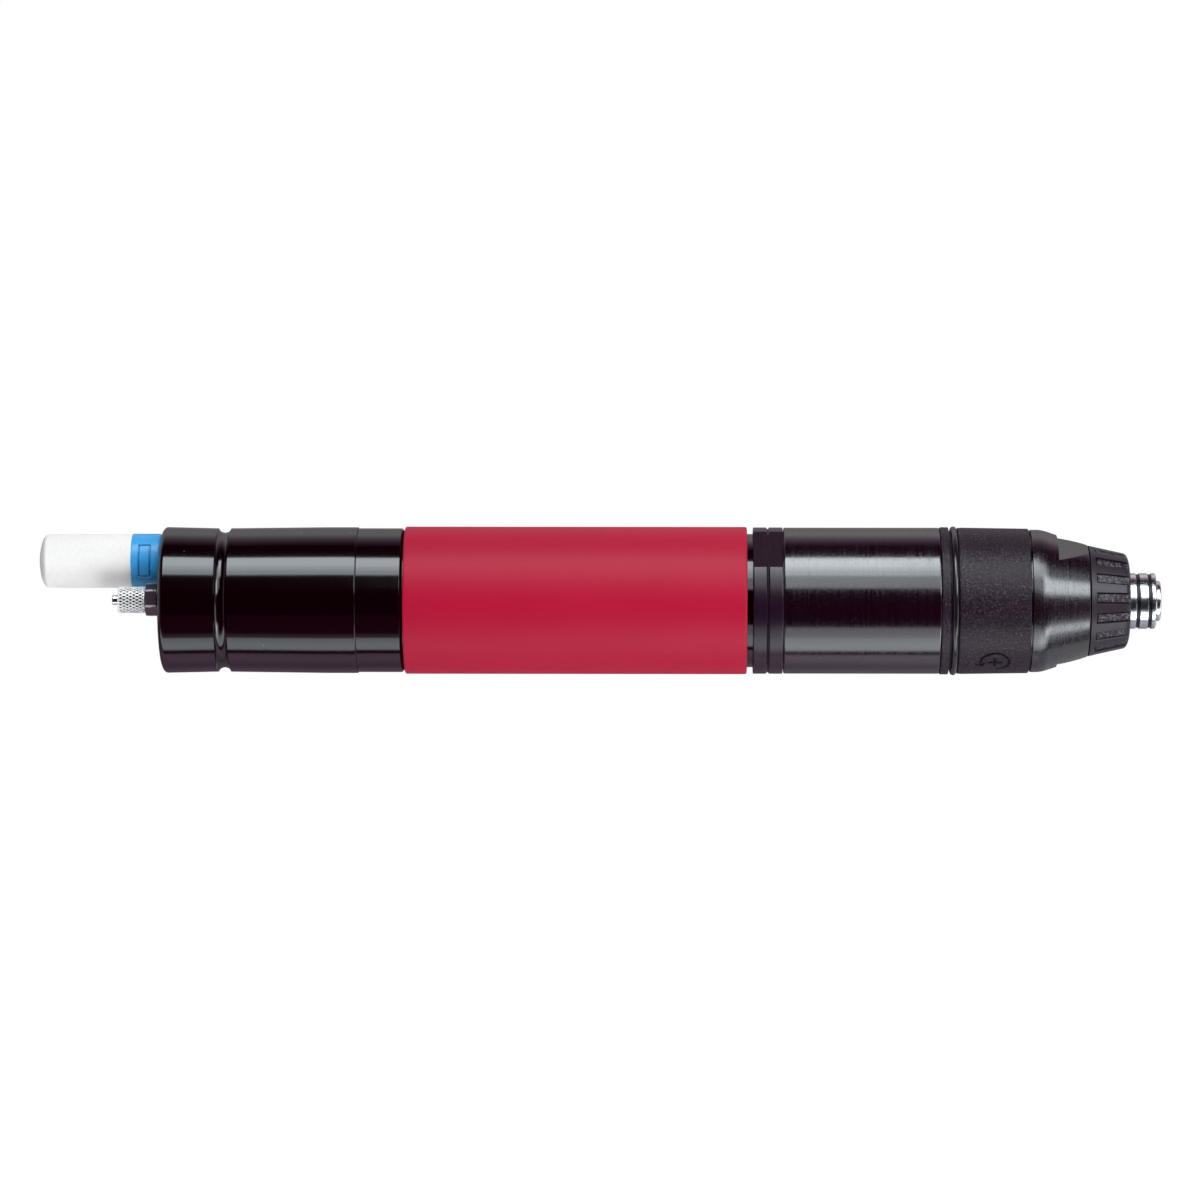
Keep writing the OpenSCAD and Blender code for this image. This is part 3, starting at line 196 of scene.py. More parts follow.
def pierced(profile, angles, x_hole, a_hole, r_hole, margin, edge=0.15, rings=4, shape=None):
    """Turned ring with a round hole through its wall.

    A block of the grid round the hole is taken out of the outer and the inner surface. Rings that
    blend the block's border into the hole's circle fill it again: (1 - t) border + t circle, in x
    and in s = r sin(a - a_hole), and the hole's wall joins the two inmost rings.
    """
    points, faces = revolved(profile, angles, shape)
    sides = len(angles)
    near = np.abs(profile[:, 0] - x_hole) < margin
    split = (profile[near, 1].min() + profile[near, 1].max()) / 2
    aside = (angles - a_hole + math.pi) % TURN - math.pi
    cols = np.flatnonzero(np.abs(aside) < margin / split)
    cols = cols[np.argsort(aside[cols])]
    keep = np.ones(faces.shape[:2], bool)
    extra, quads, walls, first = [points], [], [], len(points)
    for outer in (True, False):
        rows = np.flatnonzero(near & ((profile[:, 1] > split) == outer))
        keep[np.ix_(rows[:-1], cols[:-1])] = False
        order = np.argsort(profile[rows, 0])
        run = rows[order]
        border = np.concatenate([
            run[0] * sides + cols[:-1], run[:-1] * sides + cols[-1],
            run[-1] * sides + cols[:0:-1], run[:0:-1] * sides + cols[0]])
        x = points[border, 0] - x_hole
        r = np.hypot(points[border, 1], points[border, 2])
        a = np.arctan2(-points[border, 1], points[border, 2]) - a_hole
        s = r * np.sin(a)
        around = np.arctan2(s, x)
        lip = r_hole + (edge if outer else 0)
        t = np.linspace(0, 1, rings + 1)[1:, None]
        ring_x = (1 - t) * x + t * lip * np.cos(around)
        ring_s = (1 - t) * s + t * lip * np.sin(around)
        ring_r = np.interp(ring_x + x_hole, profile[run, 0], profile[run, 1])
        ring = place(ring_x + x_hole, ring_r, a_hole + np.arcsin(ring_s / ring_r))
        loops = np.concatenate([border[None], first + np.arange(ring[..., 0].size).reshape(rings, -1)])
        ahead = np.roll(loops, -1, 1)
        quads.append(np.stack([loops[:-1], ahead[:-1], ahead[1:], loops[1:]], -1).reshape(-1, 4))
        extra.append(ring.reshape(-1, 3))
        first += ring[..., 0].size
        walls.append(loops[-1])
        if outer:
            wall_r = ring_r[-1] - edge
            s_wall = r_hole * np.sin(around)
            bevel = place(x_hole + r_hole * np.cos(around), wall_r, a_hole + np.arcsin(s_wall / wall_r))
            walls.append(first + np.arange(len(bevel)))
            extra.append(bevel)
            first += len(bevel)
    walls = np.stack(walls)
    ahead = np.roll(walls, -1, 1)
    quads.append(np.stack([walls[:-1], ahead[:-1], ahead[1:], walls[1:]], -1).reshape(-1, 4))
    return np.concatenate(extra), np.concatenate([faces[keep], *quads])


def joined(*parts):
    """One set of points and faces from several."""
    first = np.cumsum([0] + [len(points) for points, _ in parts])
    points = np.concatenate([points for points, _ in parts])
    faces = [row for (_, part), k in zip(parts, first) for row in (np.asarray(part) + k).tolist()]
    return points, faces


def solid(name, points, faces, finish, body, node, slot, sharp=32.0, marks=None):
    """Mesh object of a piece: welded, facing outwards, smooth up to the sharp angle.

    A piece that bends between two bodies is given no body here.
    """
    mesh = bpy.data.meshes.new(name)
    faces = faces.tolist() if isinstance(faces, np.ndarray) else faces
    mesh.from_pydata((np.asarray(points) * MM).tolist(), [], faces)
    if marks is not None:
        mesh.attributes.new("recess", "FLOAT", "POINT").data.foreach_set("value", marks.ravel())
    shape = bmesh.new()
    shape.from_mesh(mesh)
    bmesh.ops.remove_doubles(shape, verts=shape.verts, dist=2e-7)
    bmesh.ops.recalc_face_normals(shape, faces=shape.faces)
    shape.to_mesh(mesh)
    shape.free()
    mesh.shade_smooth()
    mesh.set_sharp_from_angle(angle=math.radians(sharp))
    mesh.materials.append(finish)
    piece = bpy.data.objects.new(name, mesh)
    bpy.context.scene.collection.objects.link(piece)
    if body:
        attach(piece, body)
    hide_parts(node)
    return piece


def hexagon(across, a):
    """Radius of a hexagon with a corner at the top: (across / 2) / cos of the angle from a flat."""
    return across / 2 / np.cos(a % (math.pi / 3) - math.pi / 6)


def two_flats(across, turned, a):
    """Radius of two opposite flats: (across / 2) / |cos of the angle from their normal|."""
    return across / 2 / np.maximum(np.abs(np.cos(a - math.radians(turned))), 1e-3)


def smooth(low, high, value):
    """Smooth step from 0 at low to 1 at high: 3 t^2 - 2 t^3."""
    t = np.clip((value - low) / (high - low), 0, 1)
    return t * t * (3 - 2 * t)


# Materials
class Socket:
    """A shader socket that takes part in Python's arithmetic; each operator adds a Math node."""

    def __init__(self, socket):
        self.socket = socket

    def add(self, kind, settings=None, inputs=None, out=0):
        """Adds any node: its settings first, then the values or links of its sockets."""
        tree = self.socket.id_data
        made = tree.nodes.new(kind)
        for key, value in (settings or {}).items():
            setattr(made, key, value)
        for key, value in (inputs or {}).items():
            if isinstance(value, Socket):
                tree.links.new(value.socket, made.inputs[key])
            else:
                made.inputs[key].default_value = value
        return Socket(made.outputs[out])

    def math(self, operation, *others):
        """Math node with this value first."""
        inputs = dict(enumerate((self, *others)))
        return self.add("ShaderNodeMath", {"operation": operation}, inputs)

    def __add__(self, other):
        return self.math("ADD", other)

    def __radd__(self, other):
        return self.math("ADD", other)

    def __sub__(self, other):
        return self.math("SUBTRACT", other)

    def __rsub__(self, other):
        return self.add("ShaderNodeMath", {"operation": "SUBTRACT"}, {0: other, 1: self})

    def __mul__(self, other):
        return self.math("MULTIPLY", other)

    def __rmul__(self, other):
        return self.math("MULTIPLY", other)

    def stretched(self, scale):
        """Coordinates times a scale along each axis."""
        return self.add("ShaderNodeVectorMath", {"operation": "MULTIPLY"}, {0: self, 1: scale})

    def noise(self, scale, detail=3.0, rough=0.55):
        """Cloudy noise at these coordinates, from 0 to 1."""
        return self.add("ShaderNodeTexNoise", {}, {
            "Vector": self, "Scale": scale, "Detail": detail, "Roughness": rough})

    def cells(self, scale):
        """Distance to the nearest of scattered points, in sizes of a cell."""
        return self.add("ShaderNodeTexVoronoi", {}, {"Vector": self, "Scale": scale}, "Distance")

    def limits(self, low, high, to_low=0.0, to_high=1.0):
        """Value mapped from low..high to to_low..to_high, held at the ends."""
        return self.add("ShaderNodeMapRange", {"clamp": True}, {
            "Value": self, "From Min": low, "From Max": high, "To Min": to_low, "To Max": to_high})

    def mixed(self, first, second):
        """Colour that goes from first to second as this value goes from 0 to 1."""
        return self.add("ShaderNodeMix", {"data_type": "RGBA"}, {0: self, 6: first, 7: second}, 2)

    def bump(self, height, strength=1.0):
        """Normal from this value as a height, in metres at full strength."""
        return self.add("ShaderNodeBump", {}, {
            "Height": self, "Distance": height, "Strength": strength})


def colour(red, green, blue):
    """Linear colour from 8-bit values as a screen shows them."""
    c = np.array([red, green, blue]) / 255
    return (*np.where(c <= 0.04045, c / 12.92, ((c + 0.055) / 1.055) ** 2.4).tolist(), 1.0)


def finish(name, constants, make):
    """Material with one Principled shader: constants on its sockets, and what make(p) returns linked.

    p is the place on the piece, in metres.
    """
    made = bpy.data.materials.new(name)
    made.use_nodes = True
    tree = made.node_tree
    tree.nodes.clear()
    shader = tree.nodes.new("ShaderNodeBsdfPrincipled")
    output = tree.nodes.new("ShaderNodeOutputMaterial")
    tree.links.new(shader.outputs[0], output.inputs[0])
    for key, value in constants.items():
        shader.inputs[key].default_value = value
    spot = tree.nodes.new("ShaderNodeTexCoord")
    for key, value in make(Socket(spot.outputs["Object"])).items():
        tree.links.new(value.socket, shader.inputs[key])
    return made


def engraved(p):
    """The piece's recess mask: how far a point is sunk, from 0 to 1, but the hexagon's corners on the fitting
    and -1 in the cap's channels. Finishes paint shade into sunk places with it, and a highlight on the
    fitting's corners.
    """
    return p.add("ShaderNodeAttribute", {"attribute_name": "recess"}, {}, "Fac")


def tool_marks(p, fine, coarse):
    """Height of turned marks: noise that changes fast along the tool and slowly round it."""
    thin = p.stretched((fine, 60.0, 60.0)).noise(1.0, 2.0)
    wide = p.stretched((coarse, 25.0, 25.0)).noise(1.0, 2.0)
    return thin * 0.65 + wide * 0.35


def turned_metal(dark, light, rough, fine=5200.0, coarse=900.0, depth=2e-6, sunk=colour(52, 50, 54)):
    """Turned surface: fine marks round the tool in colour, gloss and height, with painted shade in its grooves
    and pits.
    """
    def make(p):
        marks = tool_marks(p, fine, coarse)
        handled = p.noise(90.0, 4.0)
        return {
            "Base Color": engraved(p).mixed(marks.limits(0.3, 0.7).mixed(dark, light), sunk),
            "Roughness": rough * (0.75 + marks * 0.35 + handled * 0.15) + engraved(p) * 0.15,
            "Normal": marks.bump(depth),
        }
    return make


def moulded(dark, light, rough, grain, depth, spread=700.0, sunk=colour(8, 6, 8)):
    """Moulded plastic or rubber: rounded grain, a slow change of colour, and painted shade in sunk lines."""
    def make(p):
        bead = p.cells(grain)
        fuzz = p.noise(grain * 1.7, 2.0)
        height = (1 - bead) * 0.6 + fuzz * 0.4
        shade = (p.noise(spread, 3.0) * 0.6 + fuzz * 0.4).limits(0.3, 0.7).mixed(dark, light)
        return {
            "Base Color": engraved(p).mixed(shade, sunk),
            "Roughness": rough * (0.8 + height * 0.35),
            "Normal": height.bump(depth),
        }
    return make


def anodised(p):
    """Black anodised turning: deep gloss, faint marks round the tool, a few pale dust specks."""
    marks = tool_marks(p, 4200.0, 700.0)
    speck = p.cells(420.0).limits(0.05, 0.08, 1.0, 0.0) * p.noise(160.0, 1.0).limits(0.6, 0.66)
    return {
        "Base Color": speck.mixed(colour(9, 0, 2), colour(120, 112, 116)),
        "Roughness": 0.085 + marks * 0.06 + speck * 0.3,
        "Normal": marks.bump(1.2e-6),
    }


def blackened(rough):
    """Blackened turned steel: clear marks round the tool that break up its highlights."""
    def make(p):
        marks = tool_marks(p, 6500.0, 1300.0)
        bands = p.stretched((2600.0, 12.0, 12.0)).noise(1.0, 3.0)
        grit = p.noise(1700.0, 3.0)
        return {
            "Base Color": marks.mixed(colour(10, 0, 5), colour(20, 1, 11)),
            "Roughness": rough + bands.limits(0.3, 0.7) * 0.13 + grit.limits(0.5, 0.75) * 0.1,
            "Normal": (marks * 0.4 + bands * 0.4 + grit * 0.5).bump(3.2e-6),
        }
    return make


def satin_collar(p):
    """Satin black collar: fine turned marks under a soft sheen."""
    grit = p.noise(5200.0, 2.0)
    marks = tool_marks(p, 3800.0, 900.0)
    return {
        "Base Color": p.noise(260.0, 3.0).mixed(colour(20, 3, 17), colour(28, 8, 24)),
        "Roughness": 0.2 + grit * 0.08 + marks * 0.1,
        "Normal": (grit * 0.6 + marks * 0.4).bump(5e-6),
    }


def black_with_painted_edge_highlight(p):
    """Black fitting with a faint blush, and a patchy painted highlight along the corners of its hexagon."""
    grit = p.noise(5200.0, 2.0)
    # Painted highlight: pale colour along the hexagon's corners, where rounded edges would catch the light
    painted_edge_highlight = engraved(p) * p.noise(900.0, 3.0).limits(0.3, 0.5)
    return {
        "Base Color": painted_edge_highlight.mixed(
            grit.mixed(colour(48, 26, 38), colour(60, 38, 50)), colour(178, 172, 174)),
        "Roughness": 0.3 + grit * 0.14,
        "Normal": grit.bump(5e-6),
    }


def grained(p):
    """Black moulded sleeve with a fine eroded grain, light specks painted on for its sparkle, and painted shade
    in its sign.
    """
    sunk = engraved(p)
    bead = p.cells(1500.0)
    fuzz = p.noise(1900.0, 3.0)
    height = (1 - bead) * 0.6 + fuzz * 0.4
    # Painted glints: light specks in the colour where the grain would sparkle
    painted_sparkle = p.noise(2900.0, 2.0).limits(0.56, 0.72)
    shade = height.limits(0.42, 0.78).mixed(colour(10, 0, 7), colour(30, 10, 25))
    shade = painted_sparkle.mixed(shade, colour(76, 52, 71))
    return {
        # Painted shade: the engraved sign is near black
        "Base Color": sunk.mixed(shade, colour(2, 0, 2)),
        "Roughness": 0.36 + height * 0.22 + sunk * 0.4,
        "Normal": height.bump(1.1e-4),
    }


def ribbed(p):
    """Black moulded cap: smooth ribs, a coarse grain in the grip recesses with light specks painted on for
    sparkle, and painted shade in the channels round the recesses.
    """
    recess = engraved(p).limits(0.0, 1.0)
    # Painted shade: the channels round the recesses are near black
    channel = engraved(p).limits(-1.0, 0.0, 1.0, 0.0)
    bead = p.cells(1500.0)
    fuzz = p.noise(1900.0, 3.0)
    coarse = (1 - bead) * 0.6 + fuzz * 0.4
    # Painted sparkle: light specks in the recess grain
    grain = coarse.limits(0.45, 0.82) * recess + 0.06 * (1 - recess)
    return {
        "Base Color": channel.mixed(grain.mixed(colour(22, 5, 18), colour(100, 92, 100)), colour(4, 0, 4)),
        "Roughness": 0.36 + fuzz * 0.1 + recess * 0.1,
        "Normal": (coarse * recess + fuzz * 0.1).bump(1.2e-4),
    }


def porous(p):
    """Sintered white beads, with slightly darker pores between them."""
    bead = p.cells(3300.0)
    fuzz = p.noise(2400.0, 3.0)
    return {
        "Base Color": (bead * 0.6 + fuzz * 0.4).limits(0.35, 0.8).mixed(
            colour(225, 217, 212), colour(213, 206, 201)),
        "Roughness": 0.82 + fuzz * 0.15,
        "Normal": (1 - bead).bump(4e-5, 0.5),
    }


def laminated(p):
    """Laminated fibre: thin layers across the vane and a woven fleck."""
    layers = p.stretched((40.0, 9000.0, 9000.0)).noise(1.0, 2.0)
    return {
        "Base Color": layers.mixed(colour(112, 72, 40), colour(150, 104, 62)),
        "Roughness": 0.55 + layers * 0.2,
        "Normal": layers.bump(1e-5),
    }


BLACK_STEEL = {"IOR": 1.72}
METAL = {"Metallic": 1.0}
RED_RUBBER = {
    "IOR": 1.46, "Specular IOR Level": 0.2, "Sheen Weight": 0.12, "Sheen Tint": (1.0, 0.3, 0.4, 1.0)}
finishes = {
    "silencer_white": finish("sintered_white", {"IOR": 1.4}, porous),
    # Blue base: its darker sunk blue paints shade into the panel's frame line
    "silencer_blue": finish("blue_plastic", {"IOR": 1.46}, moulded(
        colour(48, 139, 195), colour(58, 151, 206), 0.38, 1500.0, 6e-6, sunk=colour(28, 112, 180))),
    "anodised_black": finish("anodised_black", {"IOR": 1.5}, anodised),
    "satin_black": finish("blackened_steel", BLACK_STEEL, blackened(0.09)),
    "fitting_black": finish("fitting_black", {"IOR": 1.55}, black_with_painted_edge_highlight),
    "grip_red": finish("red_grip", RED_RUBBER, moulded(
        colour(148, 3, 36), colour(154, 6, 41), 0.52, 5200.0, 5e-6, 60.0)),
    "grained_black": finish("grained_plastic", {"IOR": 1.48, "Specular IOR Level": 0.28}, grained),
    "ribbed_black": finish("ribbed_plastic", {"IOR": 1.48, "Specular IOR Level": 0.4}, ribbed),
    "rubber_black": finish("rubber", {"IOR": 1.52}, moulded(
        colour(14, 8, 12), colour(24, 17, 21), 0.2, 2600.0, 2e-6)),
    "bright_steel": finish("bright_steel", METAL, turned_metal(
        colour(196, 196, 198), colour(226, 226, 228), 0.2, 6000.0, 1500.0, 1.5e-6)),
    "nickel": finish("nickel_plate", METAL, turned_metal(
        colour(206, 203, 198), colour(232, 229, 224), 0.22, 3000.0, 800.0, 1e-6)),
    "inner_steel": finish("ground_steel", METAL, turned_metal(
        colour(150, 152, 156), colour(188, 190, 194), 0.3)),
    "spring_steel": finish("spring_steel", METAL, turned_metal(
        colour(160, 160, 164), colour(198, 198, 202), 0.26, 2200.0, 500.0, 2e-6)),
    "inner_aluminium": finish("machined_aluminium", METAL, turned_metal(
        colour(186, 188, 192), colour(214, 216, 220), 0.34)),
    "bronze": finish("sintered_bronze", METAL, moulded(
        colour(164, 112, 62), colour(196, 142, 86), 0.46, 4200.0, 1.5e-5)),
    "valve_brass": finish("turned_brass", METAL, turned_metal(
        colour(190, 152, 76), colour(222, 188, 108), 0.24)),
    "vane_fibre": finish("vane_fibre", {"IOR": 1.5}, laminated),
}
nose_finish = finish("satin_nose", BLACK_STEEL, blackened(0.17))
collar_finish = finish("satin_collar", {"IOR": 1.5, "Specular IOR Level": 0.4}, satin_collar)
# Knurled nut: its near-black sunk colour paints shade into the pits
knurl_finish = finish("knurled_nickel", {"Metallic": 0.45}, turned_metal(
    colour(238, 235, 231), colour(248, 245, 241), 0.44, 3000.0, 800.0, 1e-6, colour(10, 8, 10)))

slot_of = {row["node"]: row["material_slot"] for row in frame["record"]["subparts"]}
for node, part in frame["nodes"].items():
    part.data.materials.clear()
    part.data.materials.append(finishes[slot_of[node]])


def piece(node, points, faces, body="body", dressed=None, **options):
    """A dressed piece in place of the CAD node of the same name."""
    slot = slot_of[node]
    return solid("dressed_" + node, points, faces, dressed or finishes[slot], body, node, slot, **options)


# Silencer
SILENCER_R, SILENCER_BORE, ELEMENT_R, DOME = 6.75, 4.05, 6.65, 2.2
X_SILENCER, X_SILENCER_END, X_BORE_END = -253.4, -276.4, -273.4
X_PLUG, X_STUD = X_SILENCER - 4, X_REAR + 6.5
PLUG_R, PLUG_BORE, STUD_R = 4.0, 2.4, 4.25
PANEL_X, PANEL_HALF_W, PANEL_HALF_H, PANEL_DEPTH = -250.1, 1.35, 4.1, 0.3


def panel_line(x, r, a):
    """How far the panel's frame is sunk, from 0 to 1: a line round a bare field that faces the camera."""
    across = np.abs(x - PANEL_X)
    along = np.abs(a - math.pi / 2) * SILENCER_R
    reach = np.maximum(across - PANEL_HALF_W, along - PANEL_HALF_H)
    return (r > SILENCER_R - 0.5) * smooth(0.24, 0.12, np.abs(reach))


def silencer_panel(x, r, a):
    """Outside of the base, less the depth of its panel's frame."""
    return r - PANEL_DEPTH * panel_line(x, r, a)


tilt = np.linspace(0, math.pi / 2, 32)
element = np.concatenate([
    rounded([(X_SILENCER, SILENCER_BORE, 0), (X_SILENCER, ELEMENT_R, 0.15),
             (X_SILENCER_END + DOME, ELEMENT_R, 0)])[:-1],
    np.stack([X_SILENCER_END + DOME * (1 - np.sin(tilt)), ELEMENT_R * np.cos(tilt)], 1),
    [(X_BORE_END, 0.0), (X_BORE_END, SILENCER_BORE)]])
piece("silencer_element", *lathe(refined(element, 0.6), 192, centre=SILENCER), sharp=50.0)

panel_x = np.arange(PANEL_X - PANEL_HALF_W - 0.5, PANEL_X + PANEL_HALF_W + 0.5, 0.09)
base = np.concatenate([
    rounded([(X_PLUG, PLUG_BORE, 0), (X_PLUG, PLUG_R, 0.3), (X_SILENCER, PLUG_R, 0),
             (X_SILENCER, SILENCER_R, 0.18), (panel_x[0] - 0.1, SILENCER_R, 0)]),
    level(panel_x, SILENCER_R),
    rounded([(panel_x[-1] + 0.1, SILENCER_R, 0), (X_REAR, SILENCER_R, 1.2), (X_REAR, STUD_R, 0),
             (X_STUD, STUD_R, 0.4), (X_STUD, PLUG_BORE, 0)], 9)])
base_angles = finer(even(180), math.pi / 2, 0.8, 0.014)
points, faces = revolved(refined(base, 0.7), base_angles, silencer_panel, SILENCER)
# The frame line's depth also marks where painted shade goes.
piece("silencer_base", points, faces.reshape(-1, 4), marks=panel_line(*polar(points, SILENCER)))

# Hose fitting
X_WASHER, X_HEX_REAR, X_STEP, X_THREAD, X_NIPPLE, X_TAIL = -246.6, -249.3, -250.7, -252.7, -257.6, -241.0
WASHER_R, WASHER_BORE = 3.8, 2.15
HEX_ACROSS, HEX_R, HEX_TURN = 7.0, 3.98, math.radians(6.4)
THREAD_R, TAIL_R, AIR_BORE = 2.4, 2.05, 0.7
NIPPLE_R, NIPPLE_SEAT = 1.2, 1.0

washer = rounded([
    (X_WASHER, WASHER_BORE, 0), (X_WASHER, WASHER_R, 0.2), (X_REAR, WASHER_R, 0.2), (X_REAR, WASHER_BORE, 0)])
piece("fitting_washer", *lathe(washer, 128, centre=FITTING))


def fitting_hex(x, r, a):
    """Hexagon of the fitting, a little turned, under the bevel that its profile already has."""
    return np.where(x < X_WASHER + 0.05, np.minimum(r, hexagon(HEX_ACROSS, a + HEX_TURN)), r)


fitting = rounded([
    (X_THREAD, NIPPLE_SEAT, 0), (X_THREAD, THREAD_R, 0.25), (X_HEX_REAR, THREAD_R, 0), (X_HEX_REAR, 3.75, 0.05),
    (-249.1, HEX_R, 0.05), (X_WASHER, HEX_R, 0.08), (X_WASHER, TAIL_R, 0), (X_TAIL, TAIL_R, 0.3),
    (X_TAIL, AIR_BORE, 0), (X_STEP, AIR_BORE, 0), (X_STEP, NIPPLE_SEAT, 0)])
points, faces = lathe(refined(fitting, 0.4), 360, fitting_hex, FITTING)
x, r, _ = polar(points, FITTING)
# The hexagon's corners mark where the painted highlight goes.
piece("fitting_body", points, faces, sharp=24.0, marks=smooth(3.84, 3.94, r) * (x > X_HEX_REAR + 0.1))

nipple = rounded([
    (X_NIPPLE, AIR_BORE, 0.1), (X_NIPPLE, NIPPLE_R, 0.28), (X_THREAD, NIPPLE_R, 0), (X_THREAD, NIPPLE_SEAT, 0),
    (X_STEP, NIPPLE_SEAT, 0), (X_STEP, AIR_BORE, 0)])
piece("hose_nipple", *lathe(refined(nipple, 0.5), 96, centre=FITTING))

KNURLS, KNURL_RISE, KNURL_DEPTH = 24, 1.61, 0.42
X_NUT, X_NUT_REAR, X_NUT_SEAT = -249.4, -256.1, -253.1
NUT_R, NUT_BORE, NUT_MOUTH = 3.25, 2.46, 2.2


def pits(x, r, a):
    """Pits of a diamond knurl, from 0 to 1, between two families of crossing ridges.

    Each family is a triangle wave of n a +- k x, and a pit lies where both are far from a ridge.
    """
    phase = KNURLS * a / TURN
    climb = (x - X_NUT_REAR) / KNURL_RISE
    one, two = [2 * np.abs((phase + way * climb) % 1 - 0.5) for way in (1, -1)]
    fade = smooth(0.2, 0.4, x - X_NUT_REAR) * smooth(0.2, 0.4, X_NUT - x)
    return (r > 2.7) * fade * smooth(0.28, 0.4, np.minimum(one, two))


def knurl(x, r, a):
    """Outside of the nut, less the depth of its pits."""
    return r - KNURL_DEPTH * pits(x, r, a)


nut = rounded([
    (X_NUT_REAR, NUT_MOUTH, 0.1), (X_NUT_REAR, NUT_R, 0.3), (X_NUT, NUT_R, 0.3), (X_NUT, NUT_BORE, 0),
    (X_NUT_SEAT, NUT_BORE, 0), (X_NUT_SEAT, NUT_MOUTH, 0)])
points, faces = lathe(refined(nut, 0.085), 336, knurl, FITTING)
# The pits' depth also marks where the finish paints shade.
piece("knurled_nut", points, faces, body="union_nut", dressed=knurl_finish, sharp=60.0,
      marks=pits(*polar(points, FITTING)))

# Rear head: a turned outside and valve bore, a flat rear face, and the bores that open in it
FACE_R, FACE_SIDES = 15.7, 256
EDGE_LONG, EDGE_HIGH = 1.35, 2.3
GROOVE_X, GROOVE_HALF, GROOVE_DEPTH, GROOVE_LIFT, GROOVE_SQUARE = -230.6, 1.68, 1.42, 0.06, 0.06
X_SEAL_REAR, X_SEAL_FRONT, X_VALVE, X_STEM_END = -193.6, -191.6, -207.0, -229.75
SEAL_R, VALVE_MOUTH, VALVE_BORE, STEM_BORE = 12.95, 6.5, 6.0, 1.66
groove = np.radians(np.linspace(-87, 87, 17))
edge = np.radians(np.linspace(0, 90, 9))[1:]
head = np.concatenate([
    [(X_REAR, FACE_R)],
    np.stack([X_REAR + EDGE_LONG * (1 - np.cos(edge)), FACE_R + EDGE_HIGH * np.sin(edge)], 1),
    [(X_REAR + EDGE_LONG + HOLD, BODY_R)],
    np.stack([GROOVE_X + GROOVE_HALF * np.sin(groove) * np.abs(np.sin(groove)) ** GROOVE_SQUARE,
              BODY_R - GROOVE_DEPTH * np.cos(groove) + GROOVE_LIFT], 1)[1:-1],
    rounded([(X_HEAD - 8, BODY_R, 0), (X_HEAD, BODY_R, 0.18), (X_HEAD, SPIGOT_R, 0), (X_SEAL_REAR, SPIGOT_R, 0),
             (X_SEAL_REAR, SEAL_R, 0), (X_SEAL_FRONT, SEAL_R, 0), (X_SEAL_FRONT, SPIGOT_R, 0),
             (X_SPIGOT, SPIGOT_R, 0.3), (X_SPIGOT, VALVE_MOUTH, 0.2), (X_VALVE, VALVE_MOUTH, 0),
             (X_VALVE, VALVE_BORE, 0), (X_VALVE_END, VALVE_BORE, 0), (X_VALVE_END, STEM_BORE, 0),
             (X_STEM_END, STEM_BORE, 0), (X_STEM_END, 0.0, 0)])])

INLET_R, INLET_MOUTH, INLET_BORE, INLET_PITCH, THREAD_DEPTH = 5.72, 6.4, 4.97, 1.337, 0.58
X_INLET, X_INLET_SEAT, X_INLET_END = X_REAR + 0.75, -233.0, -226.5
THREAD_START, THREAD_END = (-245.4, -244.6), (-233.4, -235.4)


def inlet_thread(x, r, a):
    """Thread of the air inlet: a triangle wave of x / pitch - a / turn, faded out at both ends."""
    wave = 2 * np.abs((x / INLET_PITCH - a / TURN) % 1 - 0.5)
    on = smooth(*THREAD_START, x) * smooth(*THREAD_END, x)
    return r + on * THREAD_DEPTH * wave


inlet = np.concatenate([
    [(X_REAR, INLET_MOUTH)],
    level(np.linspace(X_INLET, X_INLET_SEAT, 110), INLET_R),
    [(X_INLET_SEAT, INLET_BORE), (X_INLET_END, INLET_BORE), (X_INLET_END, 0.0)]])
seat = np.array([(X_REAR, 4.3), (X_REAR + 7.5, 4.3), (X_REAR + 7.5, 0.0)])
port = np.array([(X_REAR, 2.1), (X_REAR + 6.0, 2.1), (X_REAR + 6.0, 0.0)])
bores = [(INLET, inlet, 96, inlet_thread), (SILENCER, seat, 96, None), (FITTING, port, 64, None)]


def flat_face(x, rim_r, rim_sides, holes):
    """Flat disc with round holes: its circles, joined by a Delaunay net, less the triangles in a hole."""
    rings = [place(np.zeros(rim_sides), np.full(rim_sides, rim_r), even(rim_sides))]
    rings += [place(np.zeros(n), np.full(n, path[0, 1]), even(n), centre) for centre, path, n, _ in holes]
    first = np.cumsum([0] + [len(ring) for ring in rings])
    loops = [list(range(a, b)) for a, b in zip(first, first[1:])]
    flat = [Vector((p[1], p[2])) for p in np.concatenate(rings)]
    spots, _, net, *_ = delaunay_2d_cdt(flat, [], loops, 1, 1e-7)
    flat, net = np.array([tuple(p) for p in spots]), np.array(net)
    middle = flat[net].mean(1)
    for centre, path, _, _ in holes:
        outside = np.hypot(*(middle - centre).T) > path[0, 1]
        net, middle = net[outside], middle[outside]
    return np.column_stack([np.full(len(flat), x), flat]), net


face = flat_face(X_REAR, FACE_R, FACE_SIDES, bores)
piece("rear_head", *joined(
    open_lathe(head, FACE_SIDES), face,
    *[open_lathe(path, n, shape, centre) for centre, path, n, shape in bores]))

# Motor housing and grip
MOTOR_R, GRIP_R, GRIP_BORE = 17.75, 18.17, 16.48
X_BEVEL = X_MOTOR - 0.15
motor = rounded([
    (X_HEAD, TUBE_BORE, 0), (X_HEAD, MOTOR_R, 0.18), (X_MOTOR - 0.8, MOTOR_R, 0.04), (X_BEVEL, 17.1, 0.06),
    (X_BEVEL, TUBE_R, 0), (X_NECK, TUBE_R, 0.1), (X_NECK, TUBE_BORE, 0)])
piece("motor_housing", *lathe(refined(motor, 6.0)))

